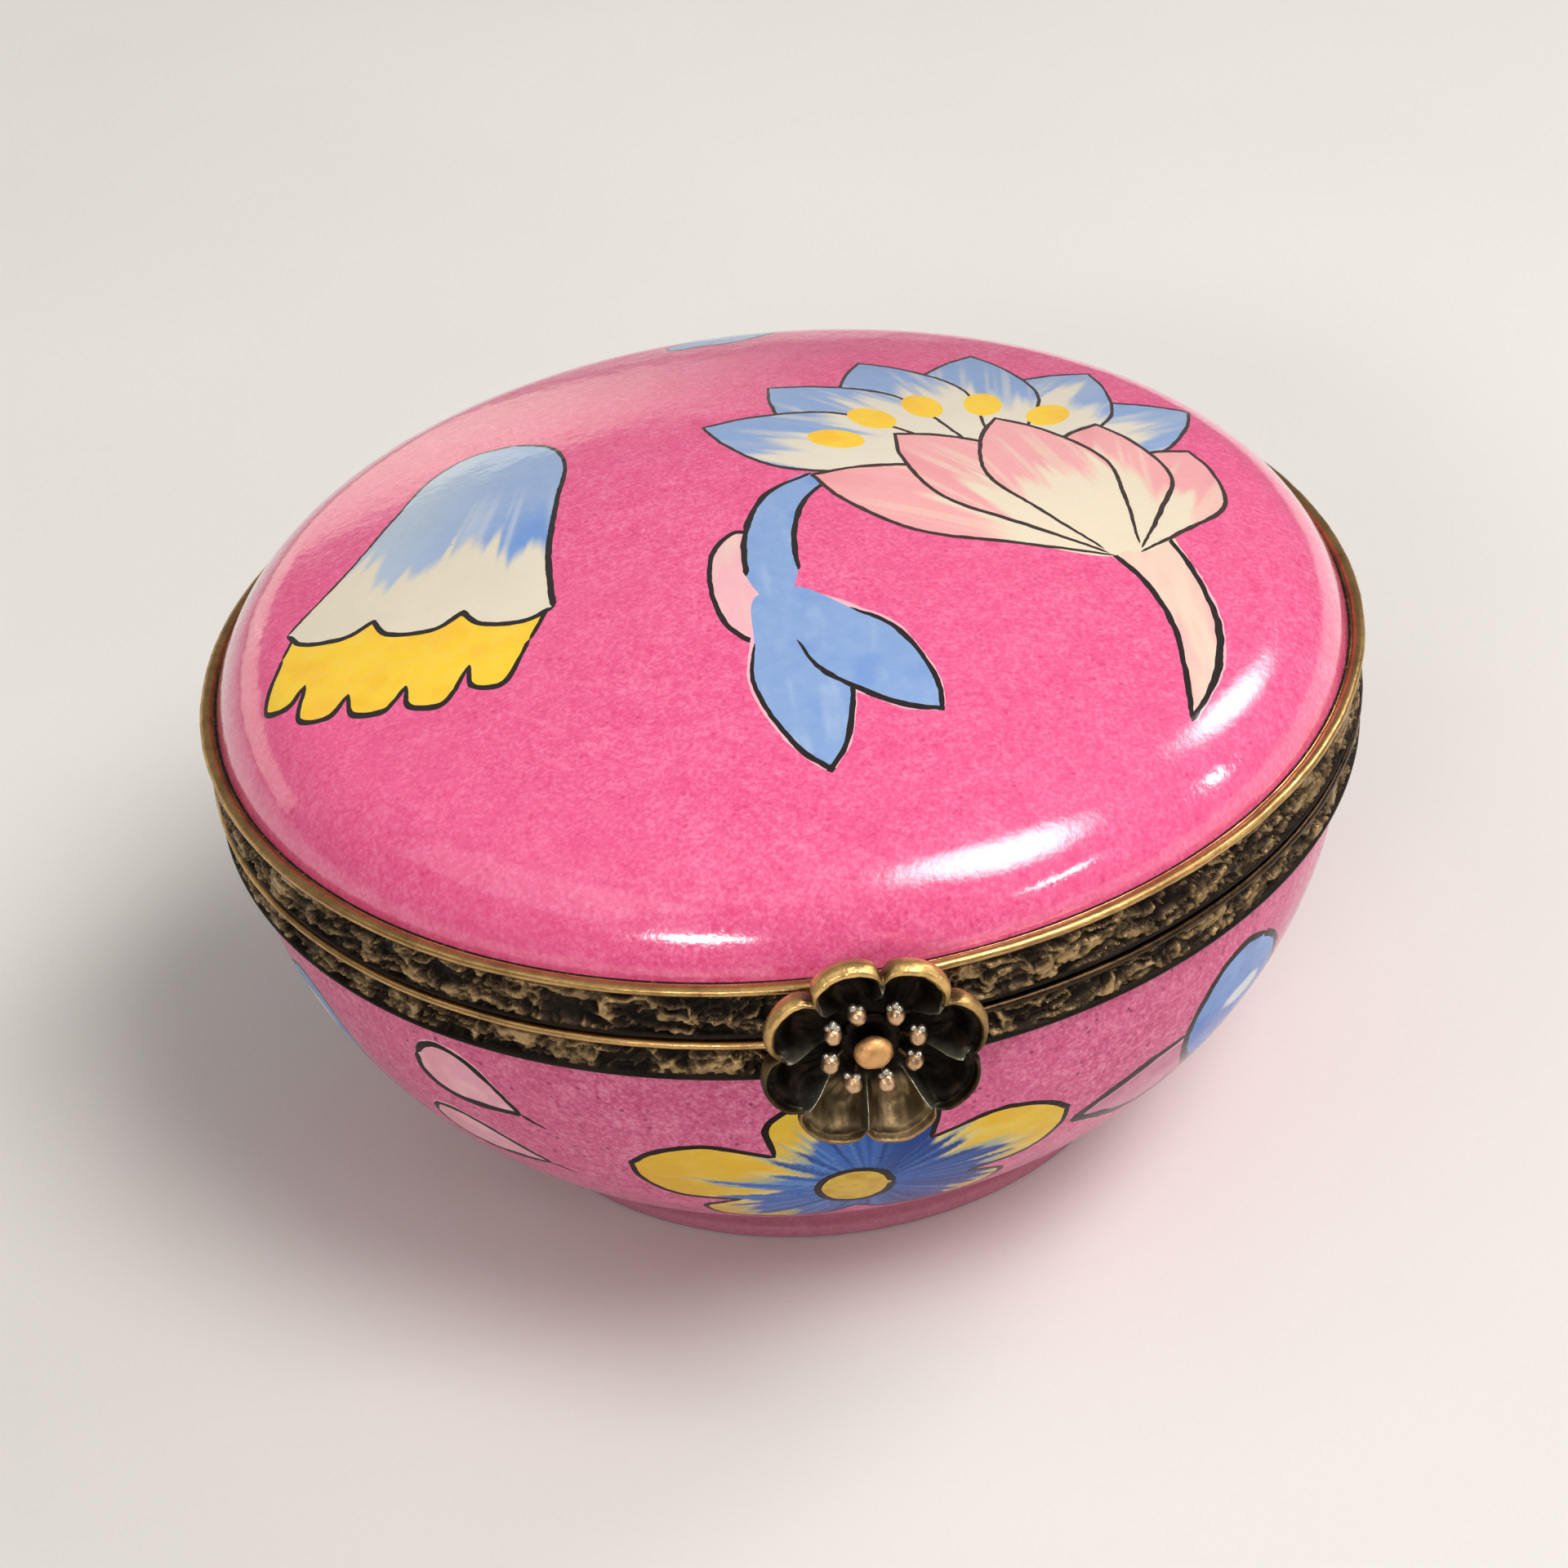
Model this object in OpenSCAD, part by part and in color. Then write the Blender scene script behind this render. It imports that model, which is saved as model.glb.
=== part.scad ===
// Round porcelain pill box with a hinged domed lid, brass mounts and a flower clasp.
// Millimetres. Origin: centre of the foot ring's resting plane. +Z up, clasp towards -Y, hinge towards +Y.

/* [Porcelain] */
// Outer radius of the lid porcelain where it enters its mount
lid_r = 27.2; // [27.0:0.05:27.22]
// Height of the lid's crown above the foot
crown_z = 31.4; // [30.4:0.1:32.4]
// Radius of the shallow crown of the lid
crown_r = 85; // [75:1:110]
// Radius of the rounded shoulder round the lid
shoulder_r = 5; // [4.4:0.1:5.6]
// Wall thickness of the porcelain
wall = 2.2; // [1.9:0.1:2.4]
// Outer radius of the foot ring
foot_r = 16.8; // [16.4:0.1:17.2]
// Height of the porcelain bowl, foot to rim
bowl_h = 20.75; // [20.7:0.01:20.8]

/* [Brass mounts] */
// Height of the parting plane between the two mounts
part_z = 21.5; // [21.5:0.01:21.52]
// Gap between the two mounts when the box is shut
part_gap = 0.12; // [0.1:0.01:0.14]
// Outer radius of the lid mount's wall
lid_mount_r = 27.72; // [27.68:0.01:27.76]
// Outer radius of the base mount's wall
base_mount_r = 27.66; // [27.6:0.01:27.7]
// Inner radius of the turned-in flanges
flange_r = 24.9; // [24.6:0.1:25.2]
// Lowest edge of the base mount
mount_low_z = 19.3; // [19.2:0.05:19.35]
// Top of the lid mount's polished lip
lip_z = 24.4; // [24.35:0.01:24.42]

/* [Hinge] */
// Distance of the hinge axis behind the box's centre
hinge_y = 29.0; // [29:0.01:29.1]
// Radius of the hinge knuckles
knuckle_r = 0.95; // [0.85:0.01:0.96]
// Radius of the hinge pin
pin_r = 0.4; // [0.35:0.01:0.45]
// Radial play of the pin in the knuckles
pin_play = 0.03; // [0.02:0.01:0.06]
// Length of one knuckle
knuckle_len = 2.1; // [2.0:0.05:2.15]

/* [Clasp] */
// Height of the flower's centre above the foot
flower_z = 22.1; // [22:0.05:22.2]
// Radius of the ring on which the petals are centred
petal_ring_r = 2.75; // [2.6:0.05:2.8]
// Radius of one cupped petal
petal_r = 1.8; // [1.7:0.05:1.85]
// Radius of the ball in the flower's middle
boss_r = 0.65; // [0.55:0.01:0.7]
// Radius of the ring of small beads
bead_ring_r = 1.85; // [1.75:0.05:1.9]
// Radius of one small bead
bead_r = 0.3; // [0.24:0.01:0.32]
// Width of the spring tongue
tongue_w = 3.4; // [3:0.1:3.5]

/* [Hidden] */
$fn = 64;
e = 0.012;                         // how far a rounding stands proud, so that it crosses its neighbour cleanly
bowl_a = 6.25;                     // centre of the bowl's side arc, radius then height
bowl_b = 20.2;
bowl_rho = 20.9;                   // radius of the bowl's side arc
half_gap = part_gap / 2;
mount_top_z = part_z - half_gap;   // top of the base mount
mount_bot_z = part_z + half_gap;   // underside of the lid mount
crown_cz = crown_z - crown_r;      // centre height of the crown's sphere
shoulder_a = lid_r - shoulder_r;
shoulder_z = crown_cz + sqrt(pow(crown_r - shoulder_r, 2) - pow(shoulder_a, 2));
cap_end_r = crown_r * shoulder_a / (crown_r - shoulder_r);
lid_low_z = 22.2;                  // lower edge of the lid porcelain
knuckle_pitch = 2.2;
leaf_half_w = 2.5 * knuckle_pitch - 0.05;
swing_r = knuckle_r + 0.1;         // room round each knuckle for the other leaf
flower_back_y = -29.0;
flower_front_y = -30.7;
petal_y = -30.5;                   // plane of the petals' ball centres
tongue_y = -28.4;                  // middle of the tongue's thickness
tongue_t = 0.35;
tongue_pivot_z = 23.5;
catch_z = 20.25;

// ---------- profiles, radius to the right and height upwards ----------

// Lid outline: shallow sphere, rounded shoulder, straight side; t shifts it inwards
module lid_profile(t, low) {
    r_cap = crown_r - t;
    r_sh = shoulder_r - t;
    intersection() {
        translate([0, crown_cz]) circle(r = r_cap);
        translate([0, low]) square([cap_end_r * r_cap / crown_r, crown_z + 5 - low]);
    }
    intersection() {
        translate([shoulder_a, shoulder_z]) circle(r = r_sh + e);
        translate([0, low]) square([40, 20]);
    }
    translate([0, low]) square([shoulder_a + r_sh, shoulder_z - low]);
}

// Bowl outline with its low foot
module bowl_profile() {
    intersection() {
        translate([bowl_a, bowl_b]) circle(r = bowl_rho);
        translate([0, 1.3]) square([30, bowl_h - 1.3]);
    }
    difference() {
        square([foot_r, 1.8]);
        translate([foot_r + 0.5, 2.3]) circle(r = 1.6);
        // small bevel round the resting edge
        polygon([[foot_r - 0.3, -0.05], [foot_r + 0.05, -0.05], [foot_r + 0.05, 0.3]]);
    }
}

// ---------- base ----------

module base_shell() {
    color([0.80, 0.47, 0.63])
    rotate_extrude($fn = 128) difference() {
        bowl_profile();
        // cavity
        intersection() {
            translate([bowl_a, bowl_b]) circle(r = bowl_rho - wall);
            translate([0, 3.4]) square([30, 30]);
        }
        // recess inside the foot ring
        translate([-1, -1]) square([foot_r - 1.4, 2.1]);
    }
}

// Bedding cement that holds the base mount on the porcelain rim
module base_bedding() {
    color([0.90, 0.88, 0.82])
    rotate_extrude($fn = 360) difference() {
        union() {
            translate([flange_r + 0.15, bowl_h - 0.3]) square([27.25 - flange_r - 0.15, mount_top_z - 0.54 - bowl_h + 0.3]);
            translate([26.6, 19.5]) square([0.65, 1]);
        }
        translate([bowl_a, bowl_b]) intersection() {
            circle(r = bowl_rho, $fn = 720);
            translate([0, -5]) square([30, 5 + bowl_h - bowl_b]);
        }
    }
}

module base_mount() {
    color([0.47, 0.36, 0.20])
    rotate_extrude($fn = 128) {
        translate([27.25, mount_low_z + 0.05]) square([base_mount_r - 27.25, mount_top_z - 0.1 - mount_low_z]);
        translate([flange_r, mount_top_z - 0.54]) square([27.6 - flange_r, 0.54]);
        // rounded inner edge
        translate([flange_r, mount_top_z - 0.27]) circle(r = 0.26, $fn = 32);
        // polished lip and lower bead
        translate([27.7, mount_top_z - 0.2]) circle(r = 0.2, $fn = 32);
        translate([base_mount_r - 0.02, mount_low_z + 0.16]) circle(r = 0.16, $fn = 32);
    }
}

// A hinge leaf's plate that follows the mount's wall
module leaf_plate(r_in, r_out, z0, z1) {
    intersection() {
        difference() {
            translate([0, 0, z0]) cylinder(r = r_out, h = z1 - z0, $fn = 128);
            translate([0, 0, z0 - 1]) cylinder(r = r_in, h = z1 - z0 + 2, $fn = 128);
        }
        union() {
            translate([-leaf_half_w, 20, z0 - 1]) cube([2 * leaf_half_w, 12, z1 - z0 + 2]);
        }
    }
}

// A knuckle and the web that joins it to its leaf plate
module knuckle(x, z_web0, z_web1, r_in) {
    translate([x - knuckle_len / 2, hinge_y, part_z]) rotate([0, 90, 0]) cylinder(r = knuckle_r, h = knuckle_len, $fn = 48);
    difference() {
        translate([x - knuckle_len / 2, 26.9, z_web0]) cube([knuckle_len, hinge_y - 26.9, z_web1 - z_web0]);
        translate([0, 0, z_web0 - 1]) cylinder(r = r_in, h = z_web1 - z_web0 + 2, $fn = 128);
    }
}

module axis_bore() {
    translate([-10, hinge_y, part_z]) rotate([0, 90, 0]) cylinder(r = pin_r + pin_play, h = 20, $fn = 32);
}

module swing_room(x) {
    translate([x - knuckle_pitch + knuckle_len / 2, hinge_y, part_z]) rotate([0, 90, 0])
        cylinder(r = swing_r, h = 2 * knuckle_pitch - knuckle_len, $fn = 48);
}

module base_hinge_leaf() {
    color([0.52, 0.40, 0.22])
    difference() {
        union() {
            leaf_plate(base_mount_r, 28.4, 19.75, 21.0);
            for (k = [-2, 0, 2]) knuckle(k * knuckle_pitch, 20.4, 21.0, base_mount_r);
        }
        for (k = [-1, 1]) swing_room(k * knuckle_pitch);
        axis_bore();
    }
}

module lid_hinge_leaf() {
    color([0.52, 0.40, 0.22])
    difference() {
        union() {
            leaf_plate(lid_mount_r, 28.4, 22.0, 23.9);
            for (k = [-1, 1]) knuckle(k * knuckle_pitch, 22.0, 22.6, lid_mount_r);
        }
        for (k = [-2, 0, 2]) swing_room(k * knuckle_pitch);
        axis_bore();
    }
}

// Pin with a domed head at each end
module hinge_pin() {
    color([0.62, 0.50, 0.28])
    translate([0, hinge_y, part_z]) rotate([0, 90, 0]) rotate_extrude($fn = 64) {
        translate([0, -leaf_half_w - 0.1]) square([pin_r, 2 * leaf_half_w + 0.2]);
        for (s = [-1, 1]) intersection() {
            translate([0, s * (leaf_half_w - 0.35)]) circle(r = 0.75, $fn = 64);
            translate([0, s > 0 ? leaf_half_w : -leaf_half_w - 1]) square([1, 1]);
        }
    }
}

// Domed nub that the tongue's hole snaps over
module catch_nub() {
    color([0.62, 0.50, 0.28])
    intersection() {
        translate([0, -27.52, catch_z]) sphere(r = 0.6, $fn = 32);
        difference() {
            translate([-1, -29, catch_z - 1]) cube([2, 2, 2]);
            translate([0, 0, catch_z - 2]) cylinder(r = base_mount_r, h = 4, $fn = 128);
        }
    }
}

// ---------- lid ----------

module lid_shell() {
    color([0.91, 0.36, 0.58])
    rotate_extrude($fn = 128) difference() {
        lid_profile(0, lid_low_z);
        lid_profile(wall + 0.1, lid_low_z - 1);
    }
}

// Bedding cement that holds the lid mount on the porcelain edge
module lid_bedding() {
    color([0.90, 0.88, 0.82])
    rotate_extrude($fn = 360) difference() {
        translate([flange_r + 0.15, mount_bot_z + 0.5]) square([27.3 - flange_r - 0.15, 23.9 - mount_bot_z - 0.5]);
        lid_profile(0, lid_low_z);
    }
}

module lid_mount() {
    color([0.47, 0.36, 0.20])
    rotate_extrude($fn = 128) {
        translate([27.3, mount_bot_z]) square([lid_mount_r - 27.3, lip_z - 0.1 - mount_bot_z]);
        translate([flange_r, mount_bot_z]) square([27.5 - flange_r, 0.5]);
        // rounded inner edge
        translate([flange_r, mount_bot_z + 0.25]) circle(r = 0.24, $fn = 32);
        // polished lip: a bead outside and a narrow ledge burnished in to the porcelain
        translate([27.78, lip_z - 0.22]) circle(r = 0.22, $fn = 32);
        translate([27.15, lip_z - 0.3]) square([0.6, 0.24]);
        // lower bead
        translate([lid_mount_r - 0.05, mount_bot_z + 0.16]) circle(r = 0.13, $fn = 32);
    }
}

// Back plate with two ears that hold the tongue's trunnions
module clasp_bracket() {
    color([0.52, 0.40, 0.22])
    difference() {
        union() {
            translate([-2.5, -28.1, 22.95]) cube([5, 0.6, 1.0]);
            for (s = [-1, 1]) translate([s > 0 ? 1.9 : -2.5, -28.85, 23.12]) cube([0.6, 1.1, 0.76]);
        }
        translate([0, 0, 20]) cylinder(r = lid_mount_r, h = 6, $fn = 1440);
        translate([-3, tongue_y, tongue_pivot_z]) rotate([0, 90, 0]) cylinder(r = 0.27, h = 6, $fn = 32);
    }
}

// ---------- clasp ----------

// Spring tongue with its trunnions at the top, a rivet hole and the catch hole
module clasp_tongue() {
    color([0.62, 0.50, 0.28])
    difference() {
        union() {
            translate([-tongue_w / 2, tongue_y - tongue_t / 2, 18.6]) cube([tongue_w, tongue_t, tongue_pivot_z - 18.6]);
            translate([-tongue_w / 2 + 0.5, tongue_y - tongue_t / 2, 17.9]) cube([tongue_w - 1, tongue_t, 1]);
            translate([-2.5, tongue_y, tongue_pivot_z]) rotate([0, 90, 0]) cylinder(r = 0.25, h = 5, $fn = 32);
        }
        translate([0, -27, catch_z]) rotate([90, 0, 0]) cylinder(r = 0.55, h = 3, $fn = 32);
        translate([0, -27, flower_z]) rotate([90, 0, 0]) cylinder(r = 0.35, h = 3, $fn = 32);
    }
}

// Eight cupped petals struck in one piece, with a flat hub and a short seat behind it
module clasp_petals() {
    color([0.40, 0.31, 0.18])
    difference() {
        union() {
            intersection() {
                union() {
                    for (k = [0:7]) translate([petal_ring_r * sin(22.5 + 45 * k), petal_y, flower_z + petal_ring_r * cos(22.5 + 45 * k)])
                        sphere(r = petal_r, $fn = 48);
                    translate([0, flower_back_y, flower_z]) rotate([90, 0, 0]) cylinder(r = 2.2, h = 0.4, $fn = 48);
                }
                translate([-6, flower_front_y, flower_z - 6]) cube([12, flower_back_y - flower_front_y, 12]);
            }
            translate([0, tongue_y - tongue_t / 2, flower_z]) rotate([90, 0, 0])
                cylinder(r = 0.7, h = tongue_y - tongue_t / 2 - flower_back_y + 0.2, $fn = 32);
        }
        for (k = [0:7]) translate([petal_ring_r * sin(22.5 + 45 * k), petal_y - 0.15, flower_z + petal_ring_r * cos(22.5 + 45 * k)])
            sphere(r = petal_r - 0.33, $fn = 48);
        translate([0, flower_back_y - 0.35, flower_z]) rotate([90, 0, 0]) cylinder(r = 1.95, h = 3, $fn = 48);
        translate([0, -27, flower_z]) rotate([90, 0, 0]) cylinder(r = 0.35, h = 6, $fn = 32);
    }
}

// Ring of small beads on short stalks
module clasp_bead_crown() {
    floor_y = flower_back_y - 0.35;
    color([0.72, 0.58, 0.34])
    difference() {
        union() {
            translate([0, floor_y, flower_z]) rotate([90, 0, 0]) cylinder(r = 1.4, h = 0.15, $fn = 48);
            for (k = [0:7]) {
                a = 22.5 + 45 * k;
                translate([0, floor_y - 0.15 / 2, flower_z]) rotate([0, a, 0]) translate([-0.13, -0.075, 0.6]) cube([0.26, 0.15, bead_ring_r - 0.7]);
                translate([bead_ring_r * sin(a), floor_y - 0.38, flower_z + bead_ring_r * cos(a)]) sphere(r = bead_r, $fn = 32);
            }
        }
        translate([0, -27, flower_z]) rotate([90, 0, 0]) cylinder(r = 0.35, h = 6, $fn = 32);
    }
}

// Rivet whose ball head is the flower's middle
module clasp_rivet() {
    seat_y = flower_back_y - 0.5;
    color([0.78, 0.58, 0.30])
    union() {
        translate([0, -28.12, flower_z]) rotate([90, 0, 0]) cylinder(r = 0.34, h = 1.8, $fn = 32);
        translate([0, seat_y - 0.56, flower_z]) sphere(r = boss_r, $fn = 32);
        // peened tail behind the tongue
        translate([0, -28.11, flower_z]) rotate([90, 0, 0]) cylinder(r = 0.6, h = -28.11 - (tongue_y + tongue_t / 2), $fn = 32);
    }
}

base_shell();
base_bedding();
base_mount();
base_hinge_leaf();
hinge_pin();
catch_nub();
lid_shell();
lid_bedding();
lid_mount();
lid_hinge_leaf();
clasp_bracket();
clasp_tongue();
clasp_petals();
clasp_bead_crown();
clasp_rivet();
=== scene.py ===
import math

import bpy
import numpy as np
from mathutils import Matrix, Vector, kdtree
from mathutils.geometry import delaunay_2d_cdt


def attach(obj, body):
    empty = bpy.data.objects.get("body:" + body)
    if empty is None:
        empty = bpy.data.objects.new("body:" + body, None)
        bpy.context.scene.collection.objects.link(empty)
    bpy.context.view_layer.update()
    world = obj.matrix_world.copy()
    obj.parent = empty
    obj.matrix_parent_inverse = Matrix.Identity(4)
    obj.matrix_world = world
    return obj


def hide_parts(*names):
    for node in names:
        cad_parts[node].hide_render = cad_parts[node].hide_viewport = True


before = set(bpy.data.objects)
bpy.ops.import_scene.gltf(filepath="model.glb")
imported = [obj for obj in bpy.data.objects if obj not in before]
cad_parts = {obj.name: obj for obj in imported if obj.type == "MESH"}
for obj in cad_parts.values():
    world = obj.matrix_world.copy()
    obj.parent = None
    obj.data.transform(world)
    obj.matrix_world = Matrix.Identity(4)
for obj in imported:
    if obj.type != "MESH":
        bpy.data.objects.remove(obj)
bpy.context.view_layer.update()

MM = 0.001
TAU = 2 * math.pi

# ----------------------------------------------------------------------------
# dimensions shared with the CAD, in millimetres
# ----------------------------------------------------------------------------
CROWN_Z, CROWN_R, LID_R, SH_R = 31.4, 85.0, 27.2, 5.0
CROWN_CZ = CROWN_Z - CROWN_R
SH_A = LID_R - SH_R
SH_Z = CROWN_CZ + math.sqrt((CROWN_R - SH_R) ** 2 - SH_A ** 2)
CAP_END = CROWN_R * SH_A / (CROWN_R - SH_R)
LID_LOW = 22.2
WALL_LID = 2.3
BOWL_A, BOWL_B, BOWL_RHO, BOWL_H = 6.25, 20.2, 20.9, 20.75
WALL = 2.2
FOOT_R = 16.8
PART_Z, HALF_GAP = 21.5, 0.06
HINGE_Y, KNUCKLE_R, PIN_R = 29.0, 0.95, 0.4
FLOWER_Z = 22.1
FL_BACK, FL_FRONT, PETAL_Y = -29.0, -30.7, -30.5
PETAL_RING, PETAL_R = 2.75, 1.8


def srgb(r, g, b):
    c = np.array([r, g, b], float) / 255.0
    return np.where(c <= 0.04045, c / 12.92, ((c + 0.055) / 1.055) ** 2.4)


def smooth(a, b, x):
    t = np.clip((np.asarray(x, float) - a) / (b - a), 0, 1)
    return t * t * (3 - 2 * t)


# ----------------------------------------------------------------------------
# seeded noise on arrays of points
# ----------------------------------------------------------------------------
def _hash(ix, iy, iz, seed):
    h = (ix.astype(np.int64) * 374761393 + iy.astype(np.int64) * 668265263
         + iz.astype(np.int64) * 1440662683 + np.int64(seed) * 974634777) & 0xFFFFFFFF
    h = ((h ^ (h >> 13)) * 1274126177) & 0xFFFFFFFF
    h = (h ^ (h >> 16)) & 0xFFFFFFFF
    return h.astype(np.float64) / 4294967296.0


def vnoise(p, seed=0):
    """Smooth value noise, 0 to 1, for an N x 3 array."""
    p = np.asarray(p, float)
    i = np.floor(p).astype(np.int64)
    f = p - i
    w = f * f * f * (f * (f * 6 - 15) + 10)
    out = np.zeros(len(p))
    for dx in (0, 1):
        for dy in (0, 1):
            for dz in (0, 1):
                k = (np.where(dx, w[:, 0], 1 - w[:, 0]) * np.where(dy, w[:, 1], 1 - w[:, 1])
                     * np.where(dz, w[:, 2], 1 - w[:, 2]))
                out += k * _hash(i[:, 0] + dx, i[:, 1] + dy, i[:, 2] + dz, seed)
    return out


def fbm(p, octaves=4, seed=0, gain=0.5, lac=2.03):
    p = np.asarray(p, float)
    a, s, out = 1.0, 0.0, np.zeros(len(p))
    for o in range(octaves):
        out += a * vnoise(p * lac ** o + 17.3 * o, seed + o)
        s += a
        a *= gain
    return out / s


def ridged(p, octaves=3, seed=0, gain=0.55, lac=2.1):
    p = np.asarray(p, float)
    a, s, out = 1.0, 0.0, np.zeros(len(p))
    for o in range(octaves):
        n = 1 - np.abs(2 * vnoise(p * lac ** o + 9.1 * o, seed + o) - 1)
        out += a * n * n
        s += a
        a *= gain
    return out / s


def noise2(x, y, seed=0, octaves=3):
    x = np.asarray(x, float)
    y = np.asarray(y, float)
    return fbm(np.stack([x, y, np.zeros_like(x) + 0.37], -1), octaves, seed)


# ----------------------------------------------------------------------------
# curves: points through which a brush passes; a third value of 1 marks a corner
# ----------------------------------------------------------------------------
def spline(pts, closed=False, step=0.16, vals=None):
    """Smooth curve through the points, sampled about every step; corners stay sharp."""
    P = np.array([[p[0], p[1]] for p in pts], float)
    corner = [len(p) > 2 and p[2] for p in pts]
    V = None if vals is None else np.array(vals, float)
    n = len(P)
    if closed:
        start = next((i for i in range(n) if corner[i]), None)
        if start is None:
            idx = list(range(-1, n + 2))
            runs = [([i % n for i in idx], True)]
        else:
            order = [(start + i) % n for i in range(n)] + [start]
            runs, cur = [], [order[0]]
            for i in order[1:]:
                cur.append(i)
                if corner[i]:
                    runs.append((cur, False))
                    cur = [i]
            if len(cur) > 1:
                runs.append((cur, False))
    else:
        runs, cur = [], [0]
        for i in range(1, n):
            cur.append(i)
            if corner[i] or i == n - 1:
                runs.append((cur, False))
                cur = [i]
    out, outv = [], []
    for idx, loop in runs:
        Q = P[idx]
        if loop:
            ctrl = Q
            segs = range(1, len(Q) - 2)
        else:
            ctrl = np.vstack([2 * Q[0] - Q[1], Q, 2 * Q[-1] - Q[-2]])
            segs = range(1, len(ctrl) - 2)
        qv = None
        if V is not None:
            qv = V[idx]
            qv = qv if loop else np.concatenate([[qv[0]], qv, [qv[-1]]])
        for s in segs:
            p0, p1, p2, p3 = ctrl[s - 1:s + 3]
            d0 = max(np.linalg.norm(p1 - p0), 1e-6) ** 0.5
            d1 = max(np.linalg.norm(p2 - p1), 1e-6) ** 0.5
            d2 = max(np.linalg.norm(p3 - p2), 1e-6) ** 0.5
            m1 = (p1 - p0) / d0 - (p2 - p0) / (d0 + d1) + (p2 - p1) / d1
            m2 = (p2 - p1) / d1 - (p3 - p1) / (d1 + d2) + (p3 - p2) / d2
            m1, m2 = m1 * d1, m2 * d1
            k = max(2, int(math.ceil(np.linalg.norm(p2 - p1) / step)))
            t = np.arange(k) / k
            h = np.stack([2 * t ** 3 - 3 * t ** 2 + 1, t ** 3 - 2 * t ** 2 + t,
                          -2 * t ** 3 + 3 * t ** 2, t ** 3 - t ** 2], -1)
            out.append(h @ np.stack([p1, m1, p2, m2]))
            if V is not None:
                outv.append(qv[s] + (qv[s + 1] - qv[s]) * t)
        if not loop and idx is runs[-1][0] and not closed:
            out.append(Q[-1:])
            if V is not None:
                outv.append(V[idx][-1:])
    C = np.concatenate(out)
    return (C, np.concatenate(outv)) if V is not None else C


def inside(poly, pts):
    """Even-odd test of points in a closed polygon."""
    x, y = pts[:, 0], pts[:, 1]
    res = np.zeros(len(pts), bool)
    a, b = poly, np.roll(poly, -1, 0)
    for (x0, y0), (x1, y1) in zip(a, b):
        if y0 == y1:
            continue
        c = ((y0 > y) != (y1 > y)) & (x < (x1 - x0) * (y - y0) / (y1 - y0) + x0)
        res ^= c
    return res


def dist_path(path, pts, closed=False):
    """Distance from each point to a polyline, and where along it (index + fraction)."""
    a = path
    b = np.roll(path, -1, 0) if closed else path[1:]
    a = a if closed else a[:-1]
    best = np.full(len(pts), 1e9)
    where = np.zeros(len(pts))
    for i in range(len(a)):
        d = b[i] - a[i]
        L = float(d @ d) or 1e-12
        t = np.clip(((pts - a[i]) @ d) / L, 0, 1)
        q = pts - (a[i] + t[:, None] * d)
        e = np.hypot(q[:, 0], q[:, 1])
        m = e < best
        best[m] = e[m]
        where[m] = i + t[m]
    return best, where


def ribbon(path, hw):
    """Outline of a brush line of varying half width round a path, as two open sides and caps."""
    d = np.gradient(path, axis=0)
    d /= np.maximum(np.hypot(d[:, 0], d[:, 1]), 1e-9)[:, None]
    nrm = np.stack([-d[:, 1], d[:, 0]], -1)
    sides = []
    for s in (1, -1):
        q = path + s * nrm * hw[:, None]
        e, w = dist_path(path, q)
        i = np.clip(w.astype(int), 0, len(hw) - 2)
        local = hw[i] + (hw[i + 1] - hw[i]) * (w - i)
        q = q[e > local - 0.012]
        sides.append(q)
    return np.vstack([sides[0], sides[1][::-1]])


# ----------------------------------------------------------------------------
# painting: shapes in order, later ones on top
# ----------------------------------------------------------------------------
class Painting:
    def __init__(self, to_plane, flat=0.0, wide=1.0):
        self.flat = flat              # how much broader the lines that run from left to right are
        self.wide = wide              # breadth of every line
        self.to_plane = to_plane      # control points to the flat plane in which paint is laid out
        self.shapes = []

    def _pts(self, pts):
        q = self.to_plane(np.array([[p[0], p[1]] for p in pts], float))
        return [tuple(v) + ((1,) if len(p) > 2 and p[2] else ()) for v, p in zip(q, pts)]

    def fill(self, pts, colour, fine=0.2, step=0.16):
        poly = spline(self._pts(pts), closed=True, step=step)
        self.shapes.append({"kind": "fill", "line": poly, "colour": colour, "fine": fine})
        return poly

    def line(self, pts, widths, colour=None, step=0.14, rough=0.24, seed=1, plain=False):
        """widths are half widths at each point; the edge wavers a little, as a brush does."""
        if np.isscalar(widths):
            widths = [widths] * len(pts)
        path, hw = spline(self._pts(pts), step=step, vals=widths)
        s = np.arange(len(path)) * step
        if not plain:
            t = np.gradient(path, axis=0)
            across = np.abs(t[:, 0]) / np.maximum(np.hypot(t[:, 0], t[:, 1]), 1e-9)
            hw = hw * LINE_WIDTH * self.wide * (1 + self.flat * across)
            w = (noise2(s * 1.6, s * 0 + seed * 1.7, seed + 400) - 0.5) * 0.10
            path = path + np.stack([-t[:, 1], t[:, 0]], -1) / step * w[:, None]
        hw = hw * (1 + rough * (2 * noise2(s * 0.9, s * 0 + seed * 3.1, seed) - 1) * 1.6)
        n = len(hw)
        ends = np.minimum(np.arange(n) + 0.6, n - np.arange(n) - 0.4) * step / 0.35
        hw = np.maximum(hw * np.clip(ends, 0.35, 1), 0.028)
        self.shapes.append({"kind": "line", "line": path, "hw": hw, "poly": ribbon(path, hw),
                            "colour": colour or INK, "fine": 0})


def flat_colour(c):
    return lambda P: np.tile(c, (len(P), 1)) * (0.96 + 0.08 * noise2(P[:, 0] * 2.0, P[:, 1] * 2.0, 9))[:, None]


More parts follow.
